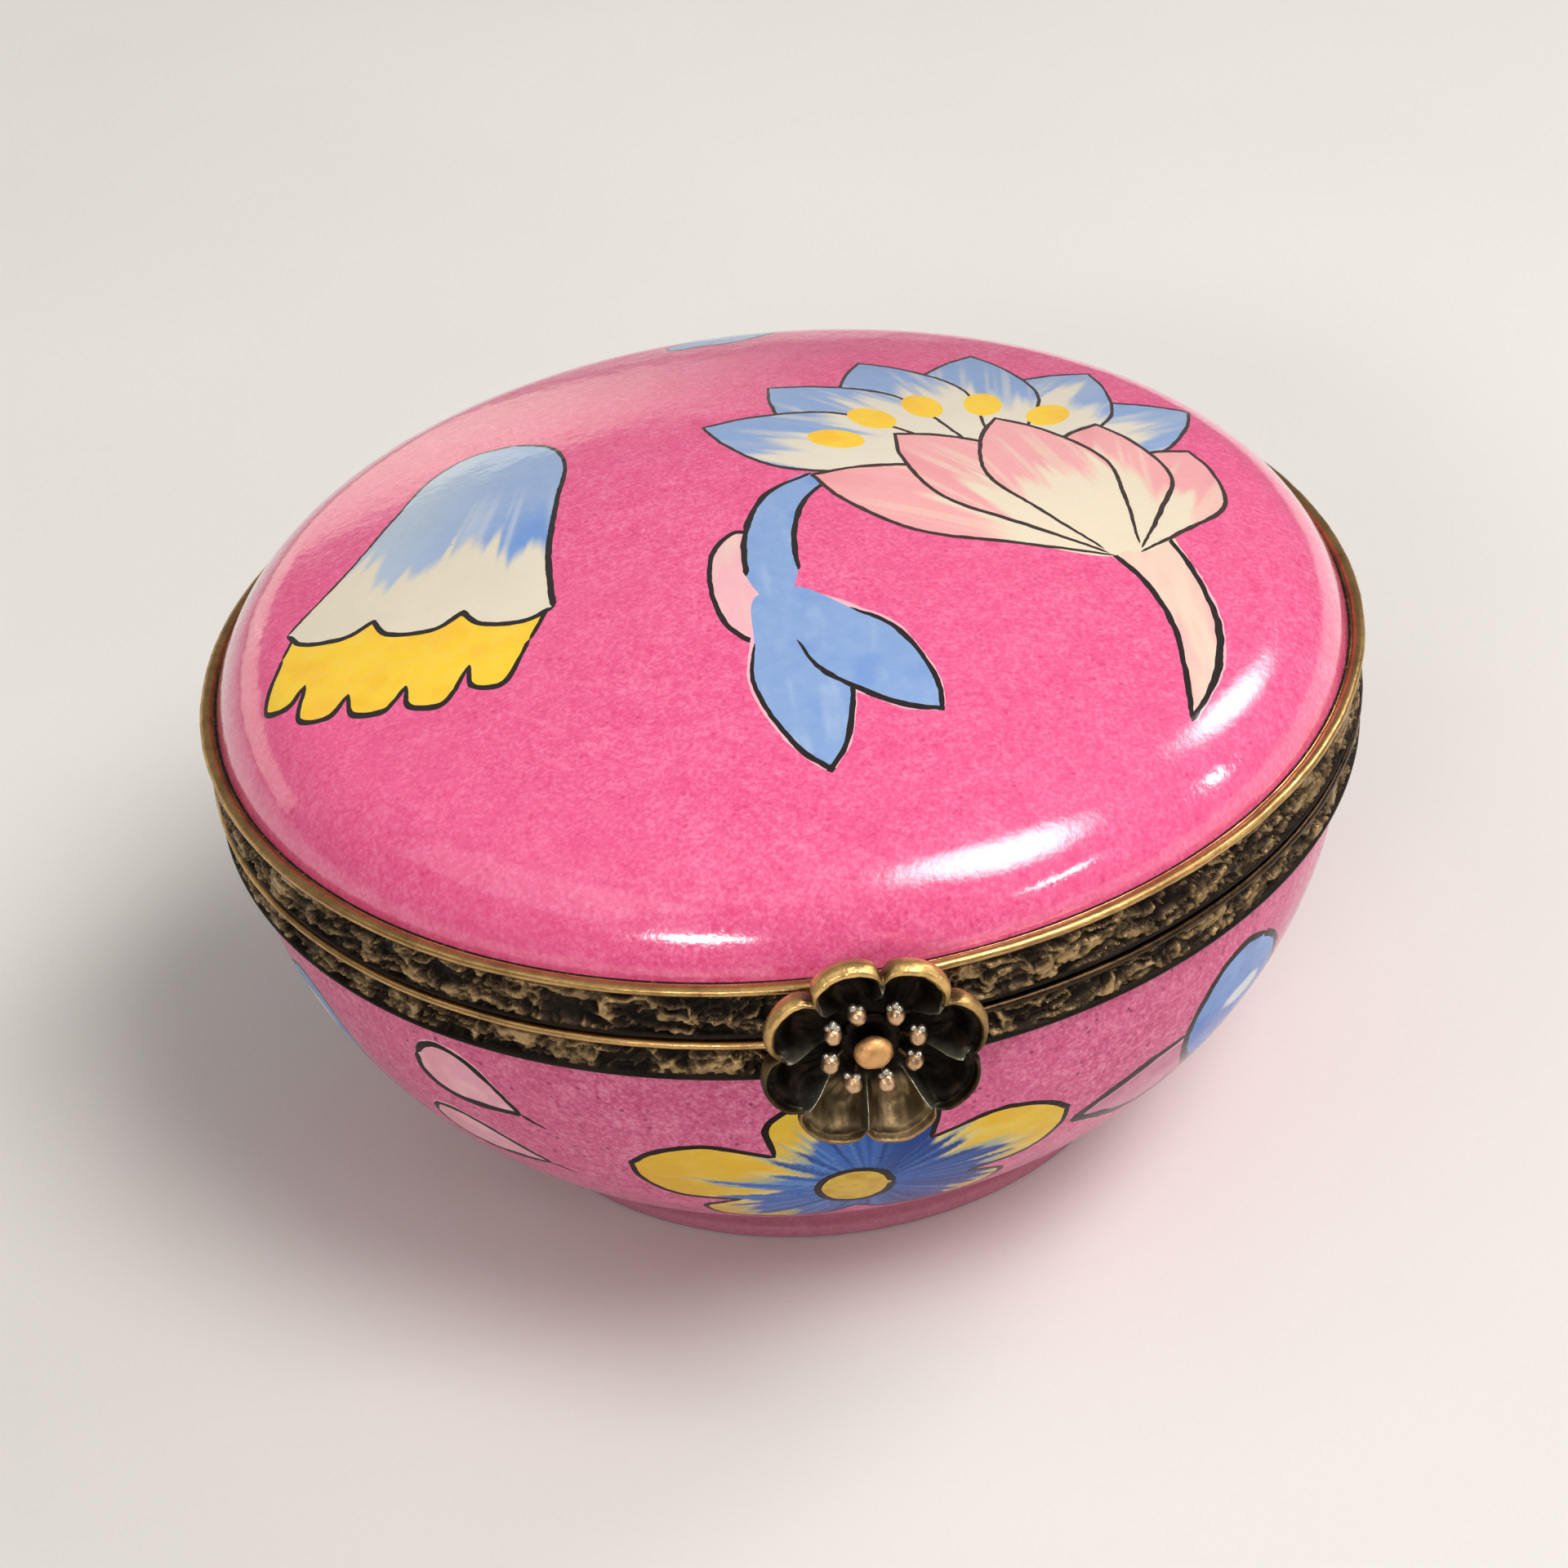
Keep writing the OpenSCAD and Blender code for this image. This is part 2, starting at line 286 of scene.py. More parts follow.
LINE_WIDTH = 1.0
INK = lambda P: np.tile(srgb(24, 6, 10), (len(P), 1)) * (0.7 + 0.6 * noise2(P[:, 0] * 1.3, P[:, 1] * 1.3, 5))[:, None]
SOFT_INK = lambda P: np.tile(srgb(54, 34, 30), (len(P), 1)) * (0.7 + 0.6 * noise2(P[:, 0] * 1.1, P[:, 1] * 1.1, 6))[:, None]
HALO = lambda P: np.tile(srgb(236, 178, 190), (len(P), 1))


def triangulate(painting, boundary_edges, boundary_pts, free_pts):
    """Flat triangles that follow every painted edge. Returns points, triangles, shape index per triangle (-1 ground)."""
    V, E = [], []

    def add_line(pts, closed):
        base = len(V)
        V.extend(map(tuple, pts))
        n = len(pts)
        E.extend((base + i, base + i + 1) for i in range(n - 1))
        if closed:
            E.append((base + n - 1, base))

    V.extend(map(tuple, boundary_pts))
    E.extend(boundary_edges)
    for s in painting.shapes:
        add_line(s["line"] if s["kind"] == "fill" else s["poly"], True)
    fixed = np.array(V)
    tree = kdtree.KDTree(len(fixed))
    for i, p in enumerate(fixed):
        tree.insert((p[0], p[1], 0), i)
    tree.balance()
    keep = []
    fills = [s for s in painting.shapes if s["kind"] == "fill"]
    cand = [(free_pts, 0.16)]
    for s in fills:
        lo, hi = s["line"].min(0), s["line"].max(0)
        f = s["fine"]
        gx, gy = np.meshgrid(np.arange(lo[0], hi[0], f), np.arange(lo[1], hi[1], f * 0.87))
        gx = gx + (np.arange(gx.shape[0]) % 2)[:, None] * f / 2
        g = np.stack([gx.ravel(), gy.ravel()], -1)
        rng = np.random.default_rng(7)
        g = g + rng.uniform(-0.12, 0.12, g.shape) * f
        g = g[inside(s["line"], g)]
        cand.append((g, f * 0.38))
    used = {}
    for pts, gap in cand:
        cell = max(gap, 0.05)
        for p in pts:
            if tree.find((p[0], p[1], 0))[2] < gap:
                continue
            key = (int(p[0] / 0.11), int(p[1] / 0.11))
            if key in used and gap < 0.15:
                continue
            used[key] = 1
            keep.append((p[0], p[1]))
    V.extend(keep)
    out_v, _, out_f, _, _, _ = delaunay_2d_cdt([Vector(v) for v in V], E, [], 0, 1e-6, False)
    P = np.array([[v.x, v.y] for v in out_v])
    F = np.array([f for f in out_f if len(f) == 3])
    cen = P[F].mean(1)
    region = np.full(len(F), -1)
    for k, s in enumerate(painting.shapes):
        if s["kind"] == "fill":
            lo, hi = s["line"].min(0), s["line"].max(0)
            m = np.where(((cen > lo) & (cen < hi)).all(1))[0]
            m = m[inside(s["line"], cen[m])]
        else:
            r = s["hw"].max()
            lo, hi = s["line"].min(0) - r, s["line"].max(0) + r
            m = np.where(((cen > lo) & (cen < hi)).all(1))[0]
            e, w = dist_path(s["line"], cen[m])
            i = np.clip(w.astype(int), 0, len(s["hw"]) - 2)
            m = m[e < s["hw"][i] + (s["hw"][i + 1] - s["hw"][i]) * (w - i)]
        region[m] = k
    return P, F, region


def corner_paint(painting, P, F, region):
    """Colour and mask for each triangle corner."""
    col = np.zeros((len(F), 3, 4))
    for k, s in enumerate(painting.shapes):
        m = np.where(region == k)[0]
        if not len(m):
            continue
        q = P[F[m]].reshape(-1, 2)
        c = np.clip(s["colour"](q), 0.003, 1)
        col[m, :, :3] = c.reshape(-1, 3, 3)
        col[m, :, 3] = 1
    return col


# ----------------------------------------------------------------------------
# mesh helpers
# ----------------------------------------------------------------------------
def build(name, verts_mm, faces, loop_normals=None, mats=(), face_mat=None, colours=None, smooth_faces=True):
    """faces: list of index arrays grouped as (M x 3) and (M x 4) blocks."""
    me = bpy.data.meshes.new(name)
    nv = len(verts_mm)
    sizes = np.concatenate([np.full(len(b), b.shape[1]) for b in faces])
    loops = np.concatenate([b.ravel() for b in faces]).astype(np.int32)
    me.vertices.add(nv)
    me.vertices.foreach_set("co", (np.asarray(verts_mm, float) * MM).astype(np.float32).ravel())
    me.loops.add(len(loops))
    me.loops.foreach_set("vertex_index", loops)
    me.polygons.add(len(sizes))
    starts = np.concatenate([[0], np.cumsum(sizes)[:-1]]).astype(np.int32)
    me.polygons.foreach_set("loop_start", starts)
    if face_mat is not None:
        me.polygons.foreach_set("material_index", np.asarray(face_mat, np.int32))
    me.update(calc_edges=True)
    for m in mats:
        me.materials.append(m)
    me.shade_smooth() if smooth_faces else me.shade_flat()
    for key, arr in (colours or {}).items():
        a = me.color_attributes.new(key, "FLOAT_COLOR", "CORNER")
        a.data.foreach_set("color", np.asarray(arr, np.float32).ravel())
    if loop_normals is not None:
        n = np.asarray(loop_normals, float)
        n /= np.maximum(np.linalg.norm(n, axis=1), 1e-12)[:, None]
        me.normals_split_custom_set([tuple(v) for v in n])
    me.validate()
    ob = bpy.data.objects.new(name, me)
    bpy.context.scene.collection.objects.link(ob)
    return ob


def ring_xy(n):
    a = np.arange(n) / n * TAU
    return np.stack([np.cos(a), np.sin(a)], -1)


def sample_arc(c, r, a0, a1, n):
    t = np.radians(np.linspace(a0, a1, n))
    return np.stack([c[0] + r * np.cos(t), c[1] + r * np.sin(t)], -1)


def seg_normals(profile, closed, crease=35):
    """Per segment, the profile's normal at its start and end, smoothed where it doesn't crease."""
    a = profile
    b = np.roll(profile, -1, 0) if closed else profile[1:]
    a = a if closed else a[:-1]
    d = b - a
    d /= np.maximum(np.hypot(d[:, 0], d[:, 1]), 1e-9)[:, None]
    n = np.stack([d[:, 1], -d[:, 0]], -1)
    m = len(n)
    lim = math.cos(math.radians(crease))
    ns, ne = n.copy(), n.copy()
    for i in range(m):
        j = (i - 1) % m
        if (closed or i > 0) and n[i] @ n[j] > lim:
            ns[i] = n[i] + n[j]
        j = (i + 1) % m
        if (closed or i < m - 1) and n[i] @ n[j] > lim:
            ne[i] = n[i] + n[j]
    for q in (ns, ne):
        q /= np.hypot(q[:, 0], q[:, 1])[:, None]
    return ns, ne


def revolve(profile, n, closed=False, crease=35, flip=False):
    """Revolves (r, z) points. Outward is to the right of the direction of travel."""
    xy = ring_xy(n)
    k = len(profile)
    V = np.empty((k, n, 3))
    V[:, :, :2] = profile[:, None, :1] * xy[None]
    V[:, :, 2] = profile[:, None, 1]
    ns, ne = seg_normals(profile, closed, crease)
    m = k if closed else k - 1
    j = np.arange(n)
    j1 = (j + 1) % n
    F, N = [], []
    for i in range(m):
        i1 = (i + 1) % k
        F.append(np.stack([i * n + j, i * n + j1, i1 * n + j1, i1 * n + j], -1))

        def nn(v, jj):
            return np.concatenate([v[0] * xy[jj], np.full((n, 1), v[1])], -1)
        N.append(np.stack([nn(ns[i], j), nn(ns[i], j1), nn(ne[i], j1), nn(ne[i], j)], 1))
    F = np.concatenate(F)
    N = np.concatenate(N)
    if flip:
        F = F[:, ::-1]
        N = -N[:, ::-1]
    return V.reshape(-1, 3), F, N


# ----------------------------------------------------------------------------
# materials
# ----------------------------------------------------------------------------
class Nodes:
    def __init__(self, name):
        self.m = bpy.data.materials.new(name)
        self.m.use_nodes = True
        self.t = self.m.node_tree
        self.t.nodes.clear()
        self.out = self.t.nodes.new("ShaderNodeOutputMaterial")
        self.b = self.t.nodes.new("ShaderNodeBsdfPrincipled")
        self.t.links.new(self.b.outputs[0], self.out.inputs[0])
        self.co = self.t.nodes.new("ShaderNodeTexCoord").outputs["Object"]

    def n(self, kind, **kw):
        x = self.t.nodes.new("ShaderNode" + kind)
        for k, v in kw.items():
            setattr(x, k, v)
        return x

    def link(self, a, b):
        self.t.links.new(a, b)

    def put(self, socket, v):
        if hasattr(v, "is_linked") or isinstance(v, bpy.types.NodeSocket):
            self.link(v, socket)
        else:
            socket.default_value = v

    def noise(self, scale, detail=3, rough=0.5, dist=0.0, co=None, w=None):
        x = self.n("TexNoise")
        x.inputs["Scale"].default_value = scale
        x.inputs["Detail"].default_value = detail
        x.inputs["Roughness"].default_value = rough
        x.inputs["Distortion"].default_value = dist
        self.link(co or self.co, x.inputs["Vector"])
        return x.outputs["Fac"]

    def voronoi(self, scale, feature="F1", out="Distance", rand=1.0, co=None):
        x = self.n("TexVoronoi", feature=feature)
        x.inputs["Scale"].default_value = scale
        x.inputs["Randomness"].default_value = rand
        self.link(co or self.co, x.inputs["Vector"])
        return x.outputs[out]

    def ramp(self, fac, stops, interp="LINEAR"):
        x = self.n("ValToRGB")
        r = x.color_ramp
        r.interpolation = interp
        while len(r.elements) < len(stops):
            r.elements.new(0.5)
        for e, (p, c) in zip(r.elements, stops):
            e.position = p
            e.color = tuple(c) + (1,) if len(c) == 3 else tuple(c)
        self.link(fac, x.inputs[0])
        return x.outputs[0]

    def mix(self, fac, a, b, mode="MIX"):
        x = self.n("Mix", data_type="RGBA", blend_type=mode)
        self.put(x.inputs[0], fac)
        for s, v in ((x.inputs[6], a), (x.inputs[7], b)):
            if isinstance(v, bpy.types.NodeSocket):
                self.link(v, s)
            else:
                s.default_value = tuple(v) + (1,) if len(v) == 3 else tuple(v)
        return x.outputs[2]

    def math(self, op, a, b=0.5, c=None, clamp=False):
        x = self.n("Math", operation=op, use_clamp=clamp)
        self.put(x.inputs[0], a)
        self.put(x.inputs[1], b)
        if c is not None:
            self.put(x.inputs[2], c)
        return x.outputs[0]

    def mapr(self, v, a, b, c, d):
        x = self.n("MapRange")
        self.link(v, x.inputs[0])
        for i, q in enumerate((a, b, c, d)):
            x.inputs[i + 1].default_value = q
        return x.outputs[0]

    def attr(self, name, out="Color"):
        x = self.n("Attribute", attribute_name=name)
        return x.outputs[out]

    def bump(self, height, dist, strength=1.0, prev=None):
        x = self.n("Bump")
        x.inputs["Strength"].default_value = strength
        x.inputs["Distance"].default_value = dist
        self.link(height, x.inputs["Height"])
        if prev is not None:
            self.link(prev, x.inputs["Normal"])
        return x.outputs[0]

    def scaled(self, sx, sy, sz):
        x = self.n("Mapping")
        x.inputs["Scale"].default_value = (sx, sy, sz)
        self.link(self.co, x.inputs["Vector"])
        return x.outputs[0]


def painted_glaze(name, deep, mid, pale, fleck, fleck_amt, coat=0.9, spec=0.5, dots=0.3):
    """Sponged ground colour with painted flowers over it, under a clear glaze."""
    g = Nodes(name)
    fine = g.noise(5200, 2, 0.6)
    mid_n = g.noise(2300, 3, 0.6)
    soft = g.noise(620, 2, 0.5)
    big = g.noise(90, 2, 0.5)
    f = g.math("ADD", g.math("MULTIPLY", fine, 0.46), g.math("ADD", g.math("MULTIPLY", mid_n, 0.36), g.math("MULTIPLY", soft, 0.18)))
    base = g.ramp(f, [(0.36, deep), (0.5, mid), (0.64, pale)])
    base = g.mix(g.mapr(big, 0.35, 0.65, 0.0, 0.3), base, mid)
    # flecks of undissolved colour: small ones everywhere, a few larger smudges
    v = g.voronoi(2100)
    near = g.mapr(v, 0.10, 0.34, 1.0, 0.0)
    chance = g.mapr(g.noise(1000, 2, 0.5), 0.5, 0.62, 0.0, 1.0)
    base = g.mix(g.math("MULTIPLY", g.math("MULTIPLY", near, chance), fleck_amt), base, fleck)
    v3 = g.voronoi(330)
    near3 = g.mapr(v3, 0.03, 0.12, 1.0, 0.0)
    chance3 = g.math("GREATER_THAN", g.noise(150, 1, 0.5), 0.6)
    base = g.mix(g.math("MULTIPLY", g.math("MULTIPLY", near3, chance3), 0.5), base, fleck)
    v2 = g.voronoi(2700)
    base = g.mix(g.math("MULTIPLY", g.mapr(v2, 0.08, 0.3, 1.0, 0.0), dots), base, pale)
    paint = g.attr("paint")
    mask = g.attr("paint", "Alpha")
    bw = g.n("RGBToBW")
    g.link(paint, bw.inputs[0])
    is_colour = g.mapr(bw.outputs[0], 0.05, 0.14, 0.0, 1.0)
    brush = g.noise(1500, 4, 0.6)
    worked = g.mix(g.math("MULTIPLY", g.mapr(brush, 0.3, 0.7, 0.05, 0.0), is_colour), paint, srgb(250, 240, 230))
    worked = g.mix(g.mapr(g.noise(300, 3, 0.5), 0.35, 0.7, 0.0, 0.10), worked, g.mix(1.0, paint, (0.6, 0.6, 0.66), "MULTIPLY"))
    col = g.mix(mask, base, worked)
    g.link(col, g.b.inputs["Base Color"])
    g.link(g.mapr(g.noise(700, 3, 0.5), 0.3, 0.7, 0.10, 0.18), g.b.inputs["Roughness"])
    g.b.inputs["IOR"].default_value = 1.5
    g.b.inputs["Specular IOR Level"].default_value = spec
    g.b.inputs["Coat Weight"].default_value = coat
    g.b.inputs["Coat Roughness"].default_value = 0.05
    g.b.inputs["Coat IOR"].default_value = 1.5
    n1 = g.bump(g.noise(300, 2, 0.5), 0.00022, 0.20)
    n2 = g.bump(g.noise(2600, 2, 0.6), 0.00006, 0.32, n1)
    g.link(n2, g.b.inputs["Normal"])
    g.link(g.bump(g.noise(2000, 2, 0.6), 0.00005, 0.16, n1), g.b.inputs["Coat Normal"])
    return g.m


def white_glaze(name):
    g = Nodes(name)
    n = g.noise(180, 4, 0.55)
    base = g.ramp(n, [(0.3, srgb(226, 224, 214)), (0.7, srgb(240, 239, 232))])
    v = g.voronoi(260, rand=1.0)
    pit = g.math("MULTIPLY", g.mapr(v, 0.02, 0.06, 1.0, 0.0), g.math("GREATER_THAN", g.noise(90, 1), 0.6))
    base = g.mix(g.math("MULTIPLY", pit, 0.7), base, srgb(96, 84, 74))
    g.link(base, g.b.inputs["Base Color"])
    g.link(g.mapr(g.noise(300, 3), 0.3, 0.7, 0.07, 0.14), g.b.inputs["Roughness"])
    g.b.inputs["Coat Weight"].default_value = 0.4
    g.b.inputs["Coat Roughness"].default_value = 0.04
    n1 = g.bump(g.noise(200, 2, 0.5), 0.0003, 0.2)
    g.link(n1, g.b.inputs["Normal"])
    g.b.inputs["Subsurface Weight"].default_value = 0.0
    return g.m


def biscuit(name):
    g = Nodes(name)
    base = g.ramp(g.noise(1500, 4, 0.6), [(0.3, srgb(206, 198, 184)), (0.7, srgb(232, 227, 216))])
    dirt = g.mapr(g.noise(160, 4, 0.6), 0.5, 0.75, 0.0, 0.5)
    base = g.mix(dirt, base, srgb(150, 138, 122))
    g.link(base, g.b.inputs["Base Color"])
    g.b.inputs["Roughness"].default_value = 0.75
    g.link(g.bump(g.noise(3000, 3, 0.7), 0.00008, 0.5), g.b.inputs["Normal"])
    return g.m


def old_brass(name, attr="relief"):
    """Antiqued brass: dark patina in the hollows, rubbed brown metal on the high places."""
    g = Nodes(name)
    h = g.attr(attr, "Fac")
    n = g.noise(2600, 4, 0.65)
    h2 = g.math("ADD", h, g.math("MULTIPLY", g.math("SUBTRACT", n, 0.5), 0.30))
    col = g.ramp(h2, [(0.12, srgb(22, 16, 13)), (0.46, srgb(56, 44, 34)), (0.68, srgb(102, 82, 57)), (0.86, srgb(158, 129, 88)), (1.0, srgb(198, 166, 118))])
    col = g.mix(g.mapr(g.noise(500, 3, 0.6), 0.4, 0.7, 0.0, 0.45), col, srgb(52, 44, 34))
    # fine graver strokes: thin broken lines of bright metal over the relief
    strokes = None
    for sc, dist, lo in ((900, 1.4, 0.47), (1500, 0.9, 0.53)):
        q = g.noise(sc, 1, 0.5, dist)
        line = g.mapr(g.math("ABSOLUTE", g.math("SUBTRACT", q, lo), 0.0), 0.004, 0.020, 1.0, 0.0)
        broken = g.mapr(g.noise(sc * 1.7, 2, 0.5, 0.3), 0.46, 0.58, 0.0, 1.0)
        line = g.math("MULTIPLY", line, broken)
        strokes = line if strokes is None else g.math("MAXIMUM", strokes, line)
    strokes = g.math("MULTIPLY", strokes, g.mapr(h, 0.22, 0.55, 0.0, 0.6))
    col = g.mix(strokes, col, srgb(186, 158, 112))
    g.link(col, g.b.inputs["Base Color"])
    g.b.inputs["Metallic"].default_value = 0.86
    g.link(g.math("ADD", g.mapr(h2, 0.2, 0.9, 0.50, 0.27), g.math("MULTIPLY", g.noise(3200, 2), 0.12)), g.b.inputs["Roughness"])
    g.link(g.bump(strokes, 0.00009, 0.7, g.bump(g.noise(4200, 4, 0.7), 0.00007, 0.6, g.bump(g.noise(1600, 3, 0.6), 0.0001, 0.5))), g.b.inputs["Normal"])
    return g.m


def toned_brass(name, rough=(0.28, 0.5)):
    """Cast brass whose tone, from black patina to rubbed gold with painted highlights and painted shade, is laid on the
    mesh; alpha is how polished it is.
    """
    g = Nodes(name)
    tone = g.attr("tone")
    pol = g.attr("tone", "Alpha")
    n = g.noise(2400, 4, 0.65)
    m = g.mapr(n, 0.3, 0.7, 0.80, 1.16)
    vm = g.n("VectorMath", operation="SCALE")
    g.link(tone, vm.inputs[0])
    g.link(m, vm.inputs["Scale"])
    spots = g.math("MULTIPLY", g.mapr(g.noise(900, 3, 0.6), 0.54, 0.68, 0.0, 1.0), 0.22)
    col = g.mix(spots, vm.outputs[0], g.mix(1.0, tone, (0.42, 0.38, 0.34), "MULTIPLY"))
    g.link(col, g.b.inputs["Base Color"])
    g.b.inputs["Metallic"].default_value = 0.9
    g.link(g.math("ADD", g.mapr(pol, 0.0, 1.0, rough[1], rough[0]), g.math("MULTIPLY", g.math("SUBTRACT", n, 0.5), 0.25)), g.b.inputs["Roughness"])
    g.link(g.bump(g.noise(3400, 4, 0.7), 0.00006, 0.5, g.bump(g.noise(1100, 3, 0.6), 0.00012, 0.4)), g.b.inputs["Normal"])
    return g.m


def lip_brass(name, bright=(206, 164, 92), tarnish=(120, 84, 46), amt=0.5, rough=(0.22, 0.4), fade=False):
    """Rubbed, nearly polished brass with tarnish clouds and fine scratches."""
    g = Nodes(name)
    c = g.noise(330, 4, 0.65)
    fine = g.noise(1500, 4, 0.7)
    m = g.mapr(g.math("ADD", c, g.math("MULTIPLY", g.math("SUBTRACT", fine, 0.5), 0.6)), 0.42, 0.68, 0.0, amt)
    col = g.mix(m, srgb(*bright), srgb(*tarnish))
    spots = g.math("MULTIPLY", g.mapr(g.voronoi(900), 0.05, 0.16, 1.0, 0.0), g.math("GREATER_THAN", g.noise(260, 2), 0.55))
    col = g.mix(g.math("MULTIPLY", spots, 0.6), col, srgb(60, 42, 26))
    if fade:
        sc = g.n("SeparateColor")
        g.link(g.attr("relief"), sc.inputs[0])
        col = g.mix(g.math("MULTIPLY", sc.outputs[1], g.mapr(fine, 0.3, 0.7, 1.0, 0.88)), col, srgb(40, 30, 24))
    g.link(col, g.b.inputs["Base Color"])
    g.b.inputs["Metallic"].default_value = 1.0
    g.link(g.mapr(fine, 0.3, 0.7, rough[0], rough[1]), g.b.inputs["Roughness"])
    n1 = g.bump(g.noise(1900, 4, 0.7), 0.00006, 0.35)
    g.link(n1, g.b.inputs["Normal"])
    return g.m


def cement_mat(name):
    g = Nodes(name)
    base = g.ramp(g.noise(1400, 5, 0.65), [(0.3, srgb(120, 86, 74)), (0.7, srgb(196, 178, 158))])
    g.link(base, g.b.inputs["Base Color"])
    g.b.inputs["Roughness"].default_value = 0.85
    g.link(g.bump(g.noise(2600, 4, 0.7), 0.0001, 0.6), g.b.inputs["Normal"])
    return g.m


LID_GLAZE = painted_glaze("lid_painted_glaze", srgb(218, 66, 124), srgb(230, 92, 142), srgb(240, 124, 166), srgb(200, 34, 98), 0.55, dots=0.2)
BASE_GLAZE = painted_glaze("base_painted_glaze", srgb(178, 70, 112), srgb(206, 99, 138), srgb(226, 142, 172), srgb(110, 32, 78), 0.8, coat=0.0, spec=0.07, dots=0.4)
WHITE = white_glaze("white_glaze")
BISCUIT = biscuit("bare_porcelain")
CHASED = old_brass("chased_antique_brass")
LIP = lip_brass("rubbed_brass_lip", bright=(204, 162, 104), tarnish=(112, 82, 50), amt=0.6, fade=True)
PLAIN_BRASS = lip_brass("old_brass_plain", bright=(160, 124, 70), tarnish=(74, 54, 34), amt=0.8, rough=(0.3, 0.5))
PETAL_BRASS = toned_brass("flower_brass")
BEAD_BRASS = toned_brass("bead_brass", rough=(0.22, 0.4))
SEAM = old_brass("lip_seam_patina")
CEMENT = cement_mat("bedding_cement")

# ----------------------------------------------------------------------------
# lid porcelain
# ----------------------------------------------------------------------------
def lid_outer_profile():
    """(s, r, z, nr, nz) down the outside of the lid from the crown."""
    rows = []
    phi_end = math.asin(CAP_END / CROWN_R)
    for t in np.linspace(0, phi_end, 200):
        rows.append((CROWN_R * t, CROWN_R * math.sin(t), CROWN_CZ + CROWN_R * math.cos(t), math.sin(t), math.cos(t)))
    s0 = CROWN_R * phi_end
    for t in np.linspace(phi_end, math.pi / 2, 80)[1:]:
        rows.append((s0 + SH_R * (t - phi_end), SH_A + SH_R * math.sin(t), SH_Z + SH_R * math.cos(t), math.sin(t), math.cos(t)))
    s1 = rows[-1][0]
    rows.append((s1 + SH_Z - LID_LOW, LID_R, LID_LOW, 1, 0))
    return np.array(rows)


LP = lid_outer_profile()
LID_S = LP[-1, 0]
LID_N = 400


def lid_plane(xy):
    r = np.hypot(xy[:, 0], xy[:, 1])
    s = np.interp(r, LP[:-1, 1], LP[:-1, 0])
    return xy * (s / np.maximum(r, 1e-9))[:, None]


def lid_solid(P):
    s = np.hypot(P[:, 0], P[:, 1])
    d = P / np.maximum(s, 1e-9)[:, None]
    r, z = np.interp(s, LP[:, 0], LP[:, 1]), np.interp(s, LP[:, 0], LP[:, 2])
    nr, nz = np.interp(s, LP[:, 0], LP[:, 3]), np.interp(s, LP[:, 0], LP[:, 4])
    r = r + 0.10 * smooth(26.2, 24.6, z)                # glaze pools a little where it meets the brass
    return (np.concatenate([d * r[:, None], z[:, None]], -1),
            np.concatenate([d * nr[:, None], nz[:, None]], -1))


def blend_cols(stops, w):
    """Mix colours by weights laid in order: stops is [base, (weight, colour), ...]."""
    c = np.tile(stops[0], (len(w[0]) if len(w) else 1, 1))
    for k, wt in enumerate(w):
        c = c * (1 - wt[:, None]) + stops[k + 1] * wt[:, None]
    return c


def stack_cols(c, layers):
    """Lay (colour, weight) layers over colours given point by point."""
    for col, w in layers:
        c = c * (1 - w[:, None]) + col * w[:, None]
    return c


def streaks(P, centre, n, seed, sharp=1.0):
    """0 to 1 noise that changes only with the angle round a centre: brush strokes that run outwards."""
    d = P - np.array(centre)
    a = np.arctan2(d[:, 1], d[:, 0])
    r = np.hypot(d[:, 0], d[:, 1])
    v = noise2(a * n, r * 0.05, seed, 2)
    v2 = noise2(a * n * 2.6, r * 0.12, seed + 9, 2)
    return np.clip(0.65 * v + 0.35 * v2, 0, 1) ** sharp


BLUE, BLUE_D, BLUE_L = srgb(128, 161, 211), srgb(84, 132, 206), srgb(172, 192, 220)
CREAM, WHITE_P, PINK_P, PINK_D = srgb(231, 217, 192), srgb(232, 226, 212), srgb(238, 166, 168), srgb(230, 138, 146)
YEL, YEL_D, YEL_L = srgb(250, 205, 32), srgb(248, 188, 18), srgb(244, 212, 84)

lid_paint = Painting(lid_plane, 0.4)

# The flowers are stock ones of a regular build: petals, leaves and a bell drawn by rule.
def petal(base, tip, w, full=0.62, foot=0.3, bow=0.0):
    """Outline of a pointed petal, w across at its fullest; bow bends it to one side."""
    a, b = np.array(base, float), np.array(tip, float)
    L = np.hypot(*(b - a))
    d = (b - a) / L
    n = np.array([-d[1], d[0]])

    def at(u, v):
        q = a + d * L * u + n * (w / 2 * v + bow * 4 * u * (1 - u))
        return (float(q[0]), float(q[1]))
    rows = [(0.0, foot), (0.28, 0.5 * (foot + 1.1)), (full, 1.0), (0.87, 0.5)]
    return [at(u, v) for u, v in rows] + [at(1, 0) + (1,)] + [at(u, -v) for u, v in rows[::-1]]


def taper(pts, hw):
    """Outline of a stem that narrows to a point: centre line and half widths."""
    C = np.array(pts, float)
    t = np.gradient(C, axis=0)
    n = np.stack([-t[:, 1], t[:, 0]], -1) / np.hypot(t[:, 0], t[:, 1])[:, None]
    h = np.array(hw)[:, None]
    left, right = C + n * h, C - n * h
    return [tuple(map(float, q)) for q in left[:-1]] + [tuple(map(float, C[-1])) + (1,)] + [tuple(map(float, q)) for q in right[:-1][::-1]]


def oval(c, rx, ry, turn=0.0):
    t = math.radians(turn)
    return [(c[0] + rx * math.cos(a) * math.cos(t) - ry * math.sin(a) * math.sin(t), c[1] + rx * math.cos(a) * math.sin(t) + ry * math.sin(a) * math.cos(t))
            for a in np.linspace(0, 2 * math.pi, 9)[:-1]]


